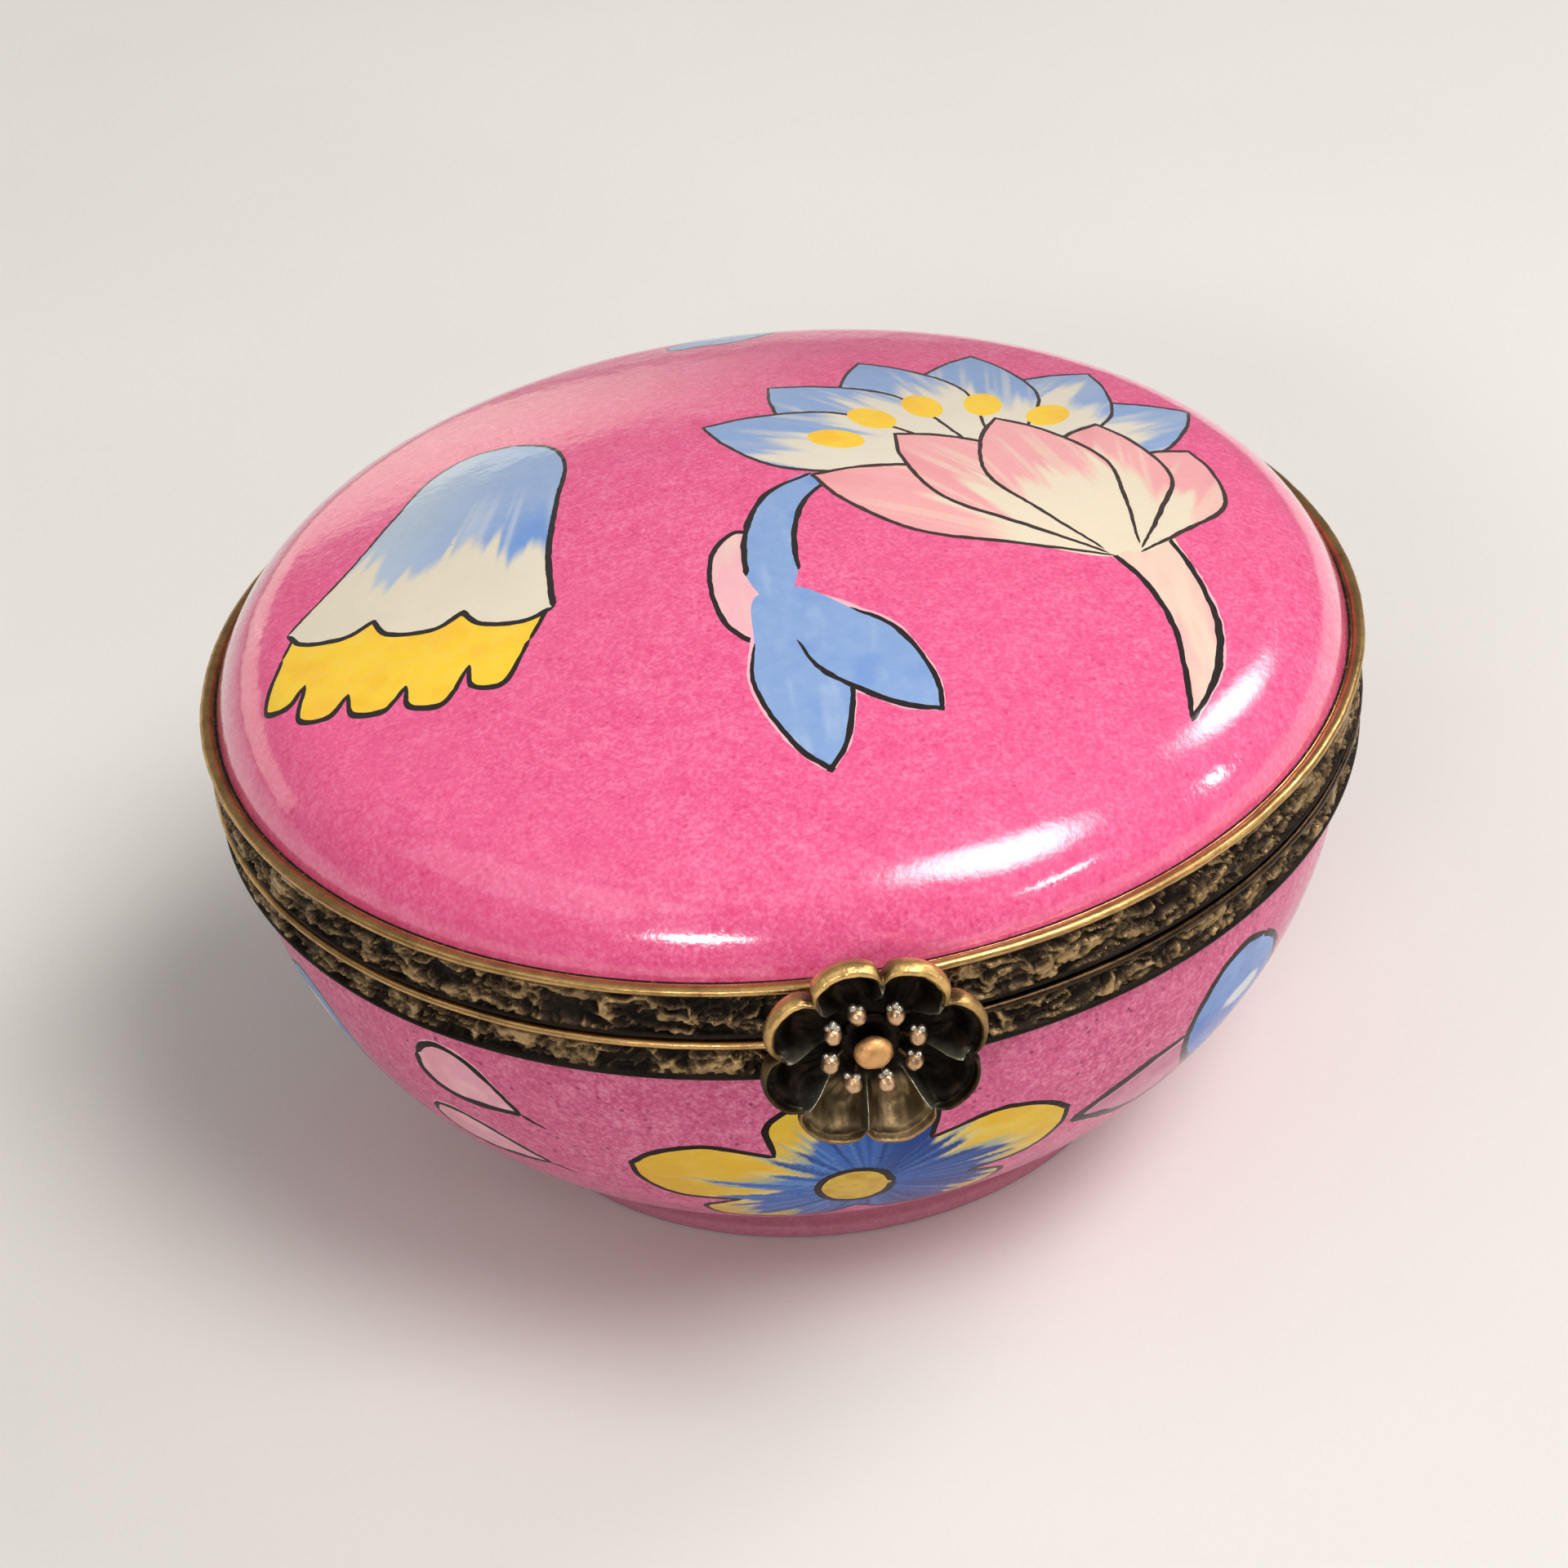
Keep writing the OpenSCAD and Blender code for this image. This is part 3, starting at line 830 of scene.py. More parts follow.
def petal_tint(base, tip, w, stops, reach, seed):
    """Colour in strokes from a petal's tip towards its base; stops are tip, deeper tip and heart."""
    a, b = lid_plane(np.array([base, tip], float))
    L = np.hypot(*(b - a))
    d = (b - a) / L
    n = np.array([-d[1], d[0]])

    def col(P):
        u, v = (P - a) @ d / L, (P - a) @ n / (w / 2)
        st = noise2(v * 2.6 + 9, u * 0.30, seed, 2)
        fine = noise2(v * 7.5 + 3, u * 0.5, seed + 1, 2)
        x = u + 0.62 * (st - 0.5) + 0.26 * (fine - 0.5) + 0.12 * np.abs(v)
        tipped = smooth(reach - 0.06, reach + 0.08, x)
        deep = smooth(0.5, 0.75, noise2(v * 1.8, u * 0.8, seed + 2, 2)) * 0.55 * tipped
        pale = smooth(0.56, 0.72, fine) * 0.45 * tipped * (1 - smooth(0.72, 0.95, u))
        return stack_cols(np.tile(stops[2], (len(P), 1)), [(stops[0], tipped), (stops[1], deep), (stops[2], pale)])
    return col


def fan(centre, aims, w, stops, reach, ink, half, seed, order, full=0.62):
    """Petals fanned from a centre; aims are (angle in degrees, length)."""
    c = np.array(centre, float)
    for k in order:
        ang, L = aims[k]
        tip = c + L * np.array([math.cos(math.radians(ang)), math.sin(math.radians(ang))])
        Q = petal(c, tip, w, full)
        lid_paint.fill(Q, petal_tint(c, tip, w, stops, reach, seed + 10 * k), fine=0.16)
        lid_paint.line(Q, [half * 0.6, half, half, half, half * 0.9, half, half, half, half * 0.6], ink, seed=seed + 10 * k + 5)


def yellow_tint(P):
    a = noise2(P[:, 0] * 0.5, P[:, 1] * 0.5, 50, 3)
    b = noise2(P[:, 0] * 1.2, P[:, 1] * 1.2, 51, 3)
    return blend_cols([YEL, YEL_D, YEL_L], [smooth(0.40, 0.66, a) * 0.7, smooth(0.55, 0.8, b) * 0.3])


# blue petals behind, white at the heart, with yellow touches
BF_C = (10.5, 1.4)
fan(BF_C, [(149, 14.6), (127, 14.6), (105, 14.8), (82, 15.0), (58, 14.6), (33, 14.2)], 6.4,
    (srgb(136, 166, 213), srgb(164, 182, 211), srgb(226, 217, 198)), 0.66, SOFT_INK, 0.085, 100, (5, 4, 3, 2, 1, 0))
for ang in (146, 124, 102, 79, 54):
    c = (BF_C[0] + 7.6 * math.cos(math.radians(ang)), BF_C[1] + 7.6 * math.sin(math.radians(ang)))
    lid_paint.fill(oval(c, 1.5, 0.95, ang), yellow_tint, fine=0.3)

# blue stem with two leaves and a pink bud behind it
lid_paint.fill(oval((-1.6, -6.6), 1.7, 4.3), lambda P: blend_cols([srgb(238, 176, 186), CREAM], [smooth(0.35, 0.8, noise2(P[:, 0] * 1.6, P[:, 1] * 0.35, 12)) * 0.5]), fine=0.25)
lid_paint.line(oval((-1.6, -6.6), 1.7, 4.3) + [oval((-1.6, -6.6), 1.7, 4.3)[0]], [0.11] * 9, seed=14)


def leaf_tint(P):
    a = noise2(P[:, 0] * 1.5, P[:, 1] * 0.32, 21, 3)
    b = noise2(P[:, 0] * 0.7, P[:, 1] * 0.5, 22, 2)
    return blend_cols([BLUE, BLUE_L, BLUE_D], [smooth(0.52, 0.85, a) * 0.5, smooth(0.5, 0.8, b) * 0.38])


STALK = [(2.9, 1.9), (1.0, 0.2), (-0.1, -2.8), (-0.4, -6.0), (-0.4, -9.6)]
TWO = [petal((-0.5, -7.6), (0.3, -19.4), 4.3, 0.5, 0.4), petal((-0.3, -7.8), (5.6, -16.6), 4.3, 0.5, 0.4)]
for Q in TWO:
    lid_paint.line(Q, [0.1, 0.2, 0.2, 0.2, 0.15, 0.2, 0.2, 0.2, 0.1], HALO, seed=20)
Q = taper(STALK, [0.55, 1.0, 1.15, 1.2, 1.0])
lid_paint.fill(Q, leaf_tint)
lid_paint.line(Q[:4], [0.07, 0.12, 0.13, 0.13], seed=23)
lid_paint.line(Q[5:], [0.13, 0.13, 0.12, 0.07], seed=24)
for k, Q in enumerate(TWO):
    lid_paint.fill(Q, leaf_tint)
    lid_paint.line(Q[1:-1], [0.05, 0.11, 0.12, 0.11, 0.12, 0.11, 0.05], seed=25 + k)

# pink and cream cup flower in front, on a tapering stem
CUP_PINK = (PINK_P, PINK_D, CREAM)
Q = taper([(16.2, -4.2), (17.5, -7.6), (18.0, -11.4), (17.5, -14.6), (16.4, -17.8)], [1.9, 1.35, 1.05, 0.7, 0.0])
lid_paint.line(Q[:5], [0.1, 0.22, 0.24, 0.22, 0.1], HALO, seed=30)
lid_paint.fill(Q, lambda P: blend_cols([CREAM, PINK_P], [0.3 + 0.5 * smooth(0.4, 0.8, noise2(P[:, 0] * 2.0, P[:, 1] * 0.25, 33))]), fine=0.2)
lid_paint.line(Q[:5], [0.10, 0.14, 0.16, 0.16, 0.10], seed=43)
lid_paint.line(Q[4:], [0.10, 0.15, 0.16, 0.15, 0.10], seed=44)
fan((15.9, -5.6), [(150, 15.4), (128, 14.3), (106, 13.2), (84, 12.2), (61, 11.0)], 6.2, CUP_PINK, 0.56, SOFT_INK, 0.10, 200, (0, 4, 1, 3, 2), 0.58)


# bell flower with a scalloped mouth over a yellow ruffle
BELL_A, BELL_M, BELL_H = np.array([-11.4, 11.6]), np.array([-16.8, -3.0]), 6.7
BELL_L = np.hypot(*(BELL_M - BELL_A))
BELL_D = (BELL_M - BELL_A) / BELL_L
BELL_N = np.array([-BELL_D[1], BELL_D[0]])


def bell_at(u, v, *corner):
    q = BELL_A + BELL_D * BELL_L * u + BELL_N * BELL_H * v
    return (float(q[0]), float(q[1])) + corner


SCALLOPS = [(1.15, 0.93), (1.25, 0.56), (1.32, 0.15), (1.33, -0.27), (1.26, -0.65), (1.12, -0.94)]
RUFFLE = [bell_at(0.98, 0.97, 1), bell_at(*SCALLOPS[0], 1)]
for (u0, v0), (u1, v1) in zip(SCALLOPS[:-1], SCALLOPS[1:]):
    out = max(u0, u1) + 0.09
    RUFFLE += [bell_at(out, v0 + 0.22 * (v1 - v0)), bell_at(out, v0 + 0.78 * (v1 - v0)), bell_at(u1, v1, 1)]
RUFFLE += [bell_at(0.98, -0.94, 1), bell_at(0.9, 0.0)]
lid_paint.fill(RUFFLE, yellow_tint)
lid_paint.line(RUFFLE[:2], [0.08, 0.1], seed=51)
for i in range(5):
    lid_paint.line(RUFFLE[1 + 3 * i:5 + 3 * i], [0.09, 0.14, 0.13, 0.08], seed=52 + i)
lid_paint.line(RUFFLE[16:18], [0.08, 0.07], seed=58)
BELL = ([bell_at(-0.01, 0.0)] + [bell_at(u, v) for u, v in ((0.03, 0.30), (0.16, 0.52), (0.42, 0.64), (0.72, 0.78))] +
        [bell_at(1.0, 1.0, 1), bell_at(1.06, 0.84), bell_at(1.06, 0.50), bell_at(1.0, 0.34, 1), bell_at(1.07, 0.18), bell_at(1.07, -0.18), bell_at(1.0, -0.34, 1),
         bell_at(1.06, -0.50), bell_at(1.06, -0.84), bell_at(1.0, -1.0, 1)] +
        [bell_at(u, -v) for u, v in ((0.72, 0.78), (0.42, 0.64), (0.16, 0.52), (0.03, 0.30))])
bell_ends = lid_plane(np.array([BELL_A, BELL_M]))
bell_len = np.hypot(*(bell_ends[1] - bell_ends[0]))
bell_dir = (bell_ends[1] - bell_ends[0]) / bell_len


def bell_tint(P):
    u = (P - bell_ends[0]) @ bell_dir / bell_len
    v = (P - bell_ends[0]) @ np.array([-bell_dir[1], bell_dir[0]]) / BELL_H
    w = v / np.clip(0.45 + 0.55 * u, 0.3, 2)
    st = noise2(w * 5.5 + 4, u * 0.5, 62, 2)
    fine = noise2(w * 13, u * 0.8, 63, 2)
    blue = 1 - smooth(0.62, 0.72, u + 0.62 * (st - 0.5) + 0.22 * (fine - 0.5))
    right = smooth(-0.7, 0.3, v)
    deep = smooth(0.1, 0.6, v) * smooth(0.35, 0.6, u) * 0.85
    hair = blue * smooth(0.56, 0.74, fine) * 0.45 * smooth(0.25, 0.5, u)
    tone = stack_cols(np.tile(srgb(178, 194, 213), (len(P), 1)), [(srgb(142, 170, 214), right * 0.9), (srgb(96, 146, 214), deep), (srgb(206, 212, 218), hair)])
    return srgb(226, 216, 194) * (1 - blue[:, None]) + tone * blue[:, None]


lid_paint.fill(BELL, bell_tint, fine=0.14)
lid_paint.line(BELL[:6], [0.08, 0.09, 0.10, 0.13, 0.17, 0.15], seed=65)
lid_paint.line(BELL[5:15], [0.12] * 10, seed=66)
lid_paint.line(BELL[14:] + [BELL[0]], [0.07, 0.07, 0.07, 0.07, 0.07, 0.08], SOFT_INK, seed=67)

Q = petal((-2.6, 22.8), (3.8, 24.4), 2.6, 0.5)
lid_paint.fill(Q, lambda P: blend_cols([BLUE, BLUE_L], [smooth(0.45, 0.75, noise2(P[:, 0] * 0.7, P[:, 1] * 1.8, 80)) * 0.7]), fine=0.3)
lid_paint.line(Q + [Q[0]], [0.07] * 10, SOFT_INK, seed=81)


def lid_mesh():
    n = LID_N
    b = ring_xy(n) * LID_S
    edges = [(i, (i + 1) % n) for i in range(n)]
    s_cap = LP[199, 0]
    h = 0.85
    g = np.arange(-s_cap, s_cap, h)
    gx, gy = np.meshgrid(g, np.arange(-s_cap, s_cap, h * 0.87))
    gx = gx + (np.arange(gx.shape[0]) % 2)[:, None] * h / 2
    g = np.stack([gx.ravel(), gy.ravel()], -1)
    g = g[np.hypot(g[:, 0], g[:, 1]) < s_cap - 0.4]
    s_sh = LP[-2, 0]
    rings = []
    for k, s in enumerate(np.linspace(s_cap, s_sh, 16)):
        m = 320
        a = (np.arange(m) + 0.5 * (k % 2)) / m * TAU
        rings.append(np.stack([np.cos(a), np.sin(a)], -1) * s)
    free = np.vstack([g] + rings)
    P, F, reg = triangulate(lid_paint, edges, b, free)
    col = corner_paint(lid_paint, P, F, reg)
    V, N = lid_solid(P)
    # counter-clockwise from outside
    a, c = P[F[:, 1]] - P[F[:, 0]], P[F[:, 2]] - P[F[:, 0]]
    flip = (a[:, 0] * c[:, 1] - a[:, 1] * c[:, 0]) < 0
    F[flip] = F[flip][:, ::-1]
    col[flip] = col[flip][:, ::-1]
    edge_i = np.where(np.hypot(P[:, 0], P[:, 1]) > LID_S - 1e-4)[0]
    ang = np.arctan2(P[edge_i, 1], P[edge_i, 0]) % TAU
    edge_i = edge_i[np.argsort(ang)]
    if len(edge_i) != n:
        raise SystemExit(f"lid rim has {len(edge_i)} points")
    a0 = np.argmin(np.abs(((np.arctan2(P[edge_i, 1], P[edge_i, 0]) + math.pi) % TAU) - math.pi))
    edge_i = np.roll(edge_i, -a0)
    # inside, from the rim up to the crown
    w = WALL_LID
    r_in = SH_A + SH_R - w
    prof = [(r_in, LID_LOW)] + [tuple(p) for p in sample_arc((SH_A, SH_Z), SH_R - w, 0, 90 - math.degrees(math.asin(CAP_END / CROWN_R)), 14)]
    for t in np.linspace(math.asin(CAP_END / CROWN_R), 0.004, 26)[1:]:
        prof.append(((CROWN_R - w) * math.sin(t), CROWN_CZ + (CROWN_R - w) * math.cos(t)))
    prof = np.array(prof)
    Vi, Fi, Ni = revolve(prof, n)
    off = len(V)
    Fi = Fi + off
    Ni_flat = Ni
    # make the inner faces look inwards
    j = np.arange(n)
    j1 = (j + 1) % n
    rim = np.stack([edge_i[j], off + j, off + j1, edge_i[j1]], -1)
    top = off + len(prof) * n
    Vall = np.vstack([V, Vi, [[0, 0, CROWN_Z - w]]])
    last = off + (len(prof) - 1) * n
    fan = np.stack([last + j, last + j1, np.full(n, top)], -1)
    return V, N, F, col, Vall, Fi, Ni_flat, rim, fan, n


def signed(V, tri):
    a, b, c = V[tri[:, 0]], V[tri[:, 1]], V[tri[:, 2]]
    return np.einsum("ij,ij->i", a, np.cross(b, c)).sum() / 6


def lid_object():
    V, N, F, col, Vall, Fi, Ni, rim, fan, n = lid_mesh()
    # orient: the inside faces point towards the hollow
    vi = Vall[Fi[0]]
    fn = np.cross(vi[1] - vi[0], vi[2] - vi[0])
    if fn @ np.array([vi[:, 0].mean(), vi[:, 1].mean(), 0]) > 0:
        Fi, Ni = Fi[:, ::-1], Ni[:, ::-1]
    nrm = np.cross(Vall[Fi[:, 1]] - Vall[Fi[:, 0]], Vall[Fi[:, 2]] - Vall[Fi[:, 0]])
    sgn = np.sign(np.einsum("ij,ij->i", nrm, Ni[:, 0]))
    Ni = Ni * sgn[:, None, None]
    r = Vall[rim]
    fn = np.cross(r[0, 1] - r[0, 0], r[0, 2] - r[0, 0])
    if fn[2] > 0:
        rim = rim[:, ::-1]
    r = Vall[fan]
    if np.cross(r[0, 1] - r[0, 0], r[0, 2] - r[0, 0])[2] > 0:
        fan = fan[:, ::-1]
    Nout = N[F]
    Nfan = np.tile([0, 0, -1.0], (len(fan), 3, 1))
    Nrim = np.tile([0, 0, -1.0], (len(rim), 4, 1))
    loops = np.vstack([Nout.reshape(-1, 3), Nfan.reshape(-1, 3), Ni.reshape(-1, 3), Nrim.reshape(-1, 3)])
    c = np.vstack([col.reshape(-1, 4), np.zeros((len(fan) * 3 + len(Fi) * 4 + len(rim) * 4, 4))])
    mat = np.concatenate([np.zeros(len(F)), np.ones(len(fan)), np.ones(len(Fi)), np.full(len(rim), 2)])
    return build("lid_porcelain", Vall, [F, fan, Fi, rim], loops, [LID_GLAZE, WHITE, BISCUIT], mat, {"paint": c})


lid = lid_object()
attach(lid, "lid")
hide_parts("lid_shell")

# ----------------------------------------------------------------------------
# base porcelain
# ----------------------------------------------------------------------------
STRIP_R = 26.0
Z_JOIN = 1.62
BASE_N = 400


def bowl_r(z):
    return BOWL_A + np.sqrt(BOWL_RHO ** 2 - (z - BOWL_B) ** 2)


_a_top = math.asin((BOWL_H - BOWL_B) / BOWL_RHO)


def bowl_s(z):
    return BOWL_RHO * (_a_top - np.arcsin((np.asarray(z, float) - BOWL_B) / BOWL_RHO))


BASE_S = float(bowl_s(Z_JOIN))


def base_plane(tz):
    """(degrees round from the clasp, height) to the flat strip."""
    return np.stack([np.radians(tz[:, 0]) * STRIP_R, -bowl_s(tz[:, 1])], -1)


def base_solid(P):
    th = P[:, 0] / STRIP_R - math.pi / 2
    a = _a_top + P[:, 1] / BOWL_RHO
    r, z = BOWL_A + BOWL_RHO * np.cos(a), BOWL_B + BOWL_RHO * np.sin(a)
    return (np.stack([r * np.cos(th), r * np.sin(th), z], -1),
            np.stack([np.cos(a) * np.cos(th), np.cos(a) * np.sin(th), np.sin(a)], -1))


base_paint = Painting(base_plane, wide=1.3)


def pt(t, z):
    return base_plane(np.array([(t, z)]))[0]


def big_flower(t0, flip=1, upper=True, seed=100):
    """Wide flower: yellow petals, a spiky blue heart and a yellow eye."""
    def at(r, deg, *corner):
        a = math.radians(deg)
        return (t0 + flip * (-1.9 + 23.2 * r * math.cos(a)), 10.0 + (7.6 if math.sin(a) > 0 else 4.6) * r * math.sin(a)) + corner
    eye = pt(t0 - flip * 1.9, 10.0)

    mid = pt(t0 - flip * 0.4, 10.2)

    def col(P):
        d = P - mid
        d = np.stack([d[:, 0] / 6.1, d[:, 1] / 5.3], -1)
        r = np.hypot(d[:, 0], d[:, 1])
        a = np.arctan2(d[:, 1], d[:, 0])
        n1 = noise2(np.cos(a) * 7 + 40, np.sin(a) * 7, seed, 1)
        n2 = noise2(np.cos(a) * 17 + 60, np.sin(a) * 17, seed + 1, 1)
        n3 = noise2(np.cos(a) * 30 + 20, np.sin(a) * 30, seed + 6, 1)
        side = np.abs(np.cos(a)) ** 0.7
        spike = 0.70 + side * (0.46 * np.clip(1.7 * n1 - 0.35, 0, 1) + 0.46 * np.clip(2.2 * n2 - 0.8, 0, 1)) + (1 - side) * 0.55
        spike = spike * (1 - 0.34 * smooth(0.12, 0.45, np.sin(a)) * smooth(0.3, 0.62, np.abs(np.cos(a))))
        blue = 1 - smooth(spike - 0.05, spike + 0.05, r)
        faint = (1 - smooth(spike + 0.05, spike + 0.34, r)) * (1 - blue) * smooth(0.45, 0.6, n3)
        rim_w = (1 - smooth(spike + 0.02, spike + 0.25, r)) * (1 - blue)
        deep = smooth(0.40, 0.66, 0.6 * n2 + 0.4 * n1 + 0.14 * d[:, 0] * flip) * blue * 0.8
        pale = blue * smooth(0.52, 0.72, n3) * 0.5 * smooth(0.35, -0.4, d[:, 0] * flip)
        y = noise2(P[:, 0] * 0.4, P[:, 1] * 0.7, seed + 3)
        warm = smooth(0.5, 2.0, -d[:, 0] * flip) * 0.55
        yel = blend_cols([srgb(226, 188, 52), srgb(220, 168, 30), srgb(226, 202, 92), srgb(220, 166, 30)], [smooth(0.4, 0.7, y) * 0.6, smooth(0.5, 0.8, noise2(P[:, 0] * 0.5, P[:, 1] * 1.6, seed + 4)) * 0.5, warm])
        return stack_cols(yel, [(srgb(214, 216, 170), rim_w * 0.45), (srgb(110, 150, 160), faint * 0.7), (srgb(46, 98, 176), blue), (srgb(18, 48, 116), deep), (srgb(104, 150, 208), pale)])

    k = 0.125
    tips = (162, 90, 18, -54, -126)
    ring = []
    for t in tips:
        ring += [at(0.56, t + 36, 1), at(0.84, t + 24), at(0.97, t + 10), at(1.02, t, 1), at(0.97, t - 10), at(0.84, t - 24)]
    base_paint.fill(ring, col, fine=0.14)
    for i in range(5):
        part = (ring + [ring[0]])[6 * i:6 * i + 7]
        base_paint.line(part, [k * 0.8, k, k, k * 0.9, k, k, k * 0.8], seed=seed + 6 + i)
    E = [(t0 + flip * -1.9 + 4.0 * math.cos(a), 10.0 + 1.75 * math.sin(a)) for a in np.linspace(0, 2 * math.pi, 9)[:-1]]
    base_paint.fill(E, lambda P: blend_cols([srgb(214, 176, 54), srgb(190, 148, 38)], [smooth(0.4, 0.7, noise2(P[:, 0] * 1.4, P[:, 1] * 1.4, seed + 12)) * 0.8]), fine=0.25)
    base_paint.line(E + [E[0]], [0.16] * 9, seed=seed + 13)


def drop(t0, z0, t1, z1, w, kind, seed):
    """Leaf or petal from its round end (t0, z0) to its point (t1, z1)."""
    a, b = pt(t0, z0), pt(t1, z1)
    d = b - a
    L = np.hypot(*d)
    d = d / L
    nn = np.array([-d[1], d[0]])
    shape = [(0, 0), (0.06, 0.62), (0.22, 0.98), (0.45, 1.0), (0.7, 0.66), (1.0, 0.0, 1), (0.7, -0.5), (0.45, -0.86), (0.22, -0.9), (0.06, -0.58)]
    P2 = []
    for p in shape:
        v = a + d * L * p[0] + nn * w * p[1]
        th = math.degrees(v[0] / STRIP_R)
        z = BOWL_B + BOWL_RHO * math.sin(_a_top + v[1] / BOWL_RHO)
        P2.append((th, z) + ((1,) if len(p) > 2 else ()))

    def col(P):
        u = ((P - a) @ d) / L
        v = ((P - a) @ nn) / w
        n = noise2(P[:, 0] * 1.1, P[:, 1] * 1.1, seed)
        if kind == "pink":
            return blend_cols([srgb(228, 160, 178), srgb(240, 190, 196), PINK_D], [smooth(0.4, 0.75, n) * 0.6, (1 - smooth(0.0, 0.5, u)) * 0.25])
        mark = (1 - smooth(0.22, 0.34, np.hypot((u - 0.4) * 1.6, (v + 0.1) * 0.75)))
        return blend_cols([BLUE, BLUE_D, WHITE_P], [smooth(0.35, 0.7, n) * 0.6, mark])

    base_paint.line(P2[:6], [0.1, 0.17, 0.2, 0.2, 0.17, 0.1], HALO, seed=seed + 5)
    base_paint.fill(P2, col, fine=0.22)
    base_paint.line(P2[:6], [0.12, 0.12, 0.12, 0.12, 0.13, 0.12], seed=seed + 1)
    base_paint.line(P2[5:] + [P2[0]], [0.12, 0.16, 0.17, 0.15, 0.13, 0.12], seed=seed + 2)
    tail = b + d * 1.3 + nn * -0.25
    t_deg = math.degrees(tail[0] / STRIP_R)
    base_paint.line([P2[5][:2], (t_deg, BOWL_B + BOWL_RHO * math.sin(_a_top + tail[1] / BOWL_RHO))], [0.11, 0.04], seed=seed + 3)


def stem(pts, seed):
    base_paint.line([(p[0] + 0.3, p[1] - 0.25) for p in pts], [0.10] * len(pts), flat_colour(srgb(226, 160, 180)), seed=seed)
    base_paint.line(pts, [0.22] + [0.24] * (len(pts) - 2) + [0.14], seed=seed + 1)


# right of the clasp: a leaf between two stems, a round blue petal with a white light
base_paint.fill([(21.6, 10.8, 1), (25.3, 11.8), (28.1, 12.3), (31.4, 12.8), (35.9, 13.0), (40.5, 11.2, 1), (36.5, 9.4), (31.0, 8.8), (26.0, 9.9)],
                lambda P: blend_cols([srgb(204, 128, 156), srgb(186, 96, 138)], [smooth(0.4, 0.7, noise2(P[:, 0] * 1.2, P[:, 1] * 1.2, 160)) * 0.6]), fine=0.35)
stem([(21.9, 10.8), (25.3, 11.7), (28.1, 12.2), (31.4, 12.7), (35.9, 12.9)], 161)
stem([(21.9, 10.8), (26.0, 9.95), (30.0, 9.0), (36.5, 8.6), (41.0, 9.4)], 163)


def round_petal(t0, sx, seed):
    Q = [(t0 + sx * p[0],) + tuple(p[1:]) for p in [(-4.8, 9.2, 1), (-7.8, 11.2), (-8.9, 13.0), (-8.1, 14.6), (-6.4, 15.9), (-4.4, 16.5), (-1.8, 16.7), (1.6, 16.1),
         (4.6, 14.9), (6.8, 13.2), (7.6, 11.6), (5.6, 9.9), (1.6, 8.9), (-1.8, 8.7)]]
    m = pt(t0 + sx * 0.4, 12.8)

    def col(P):
        d = P - m
        n = noise2(P[:, 0] * 0.9, P[:, 1] * 0.9, seed)
        mark = 1 - smooth(0.75, 1.05, np.hypot((d[:, 0] * sx + d[:, 1] * 0.5) / 1.7, (d[:, 1] - d[:, 0] * sx * 0.1) / 0.85) + 0.3 * (n - 0.5))
        return blend_cols([srgb(88, 138, 210), srgb(52, 98, 184), BLUE_L, srgb(214, 222, 230)], [smooth(0.4, 0.7, n) * 0.6, smooth(0.0, 3.0, d[:, 1]) * 0.35, mark])

    base_paint.fill(Q, col, fine=0.22)
    base_paint.line(Q[:8], [0.22, 0.20, 0.20, 0.19, 0.19, 0.18, 0.17, 0.15], seed=seed + 1)
    base_paint.line(Q[7:] + [Q[0]], [0.15, 0.16, 0.17, 0.17, 0.17, 0.18, 0.2, 0.22], seed=seed + 2)


round_petal(45.0, 1, 170)
# left of the clasp: two pink petals
drop(-46.2, 16.6, -35.0, 14.6, 1.75, "pink", 180)
drop(-49.0, 11.6, -35.0, 10.4, 1.6, "pink", 190)
big_flower(0.0, seed=100)
# round the back, in the same hand
big_flower(150.0, flip=-1, seed=200)
drop(78.0, 15.8, 66.0, 9.6, 2.4, "blue", 210)
drop(96.0, 16.4, 84.0, 13.2, 1.7, "pink", 220)
drop(100.0, 10.6, 86.0, 9.4, 1.6, "pink", 230)
stem([(62.0, 16.0), (66.0, 12.0), (64.0, 7.5)], 235)
stem([(104.0, 13.5), (112.0, 14.8), (120.0, 13.6), (126.0, 12.4)], 237)
drop(-150.0, 15.8, -163.0, 11.8, 2.3, "blue", 240)
big_flower(-112.0, seed=300)
drop(-70.0, 15.6, -60.0, 11.4, 2.2, "blue", 250)
stem([(-60.0, 11.4), (-56.0, 9.0), (-57.0, 6.0)], 255)
stem([(-86.0, 13.0), (-80.0, 14.6), (-75.0, 14.2)], 257)


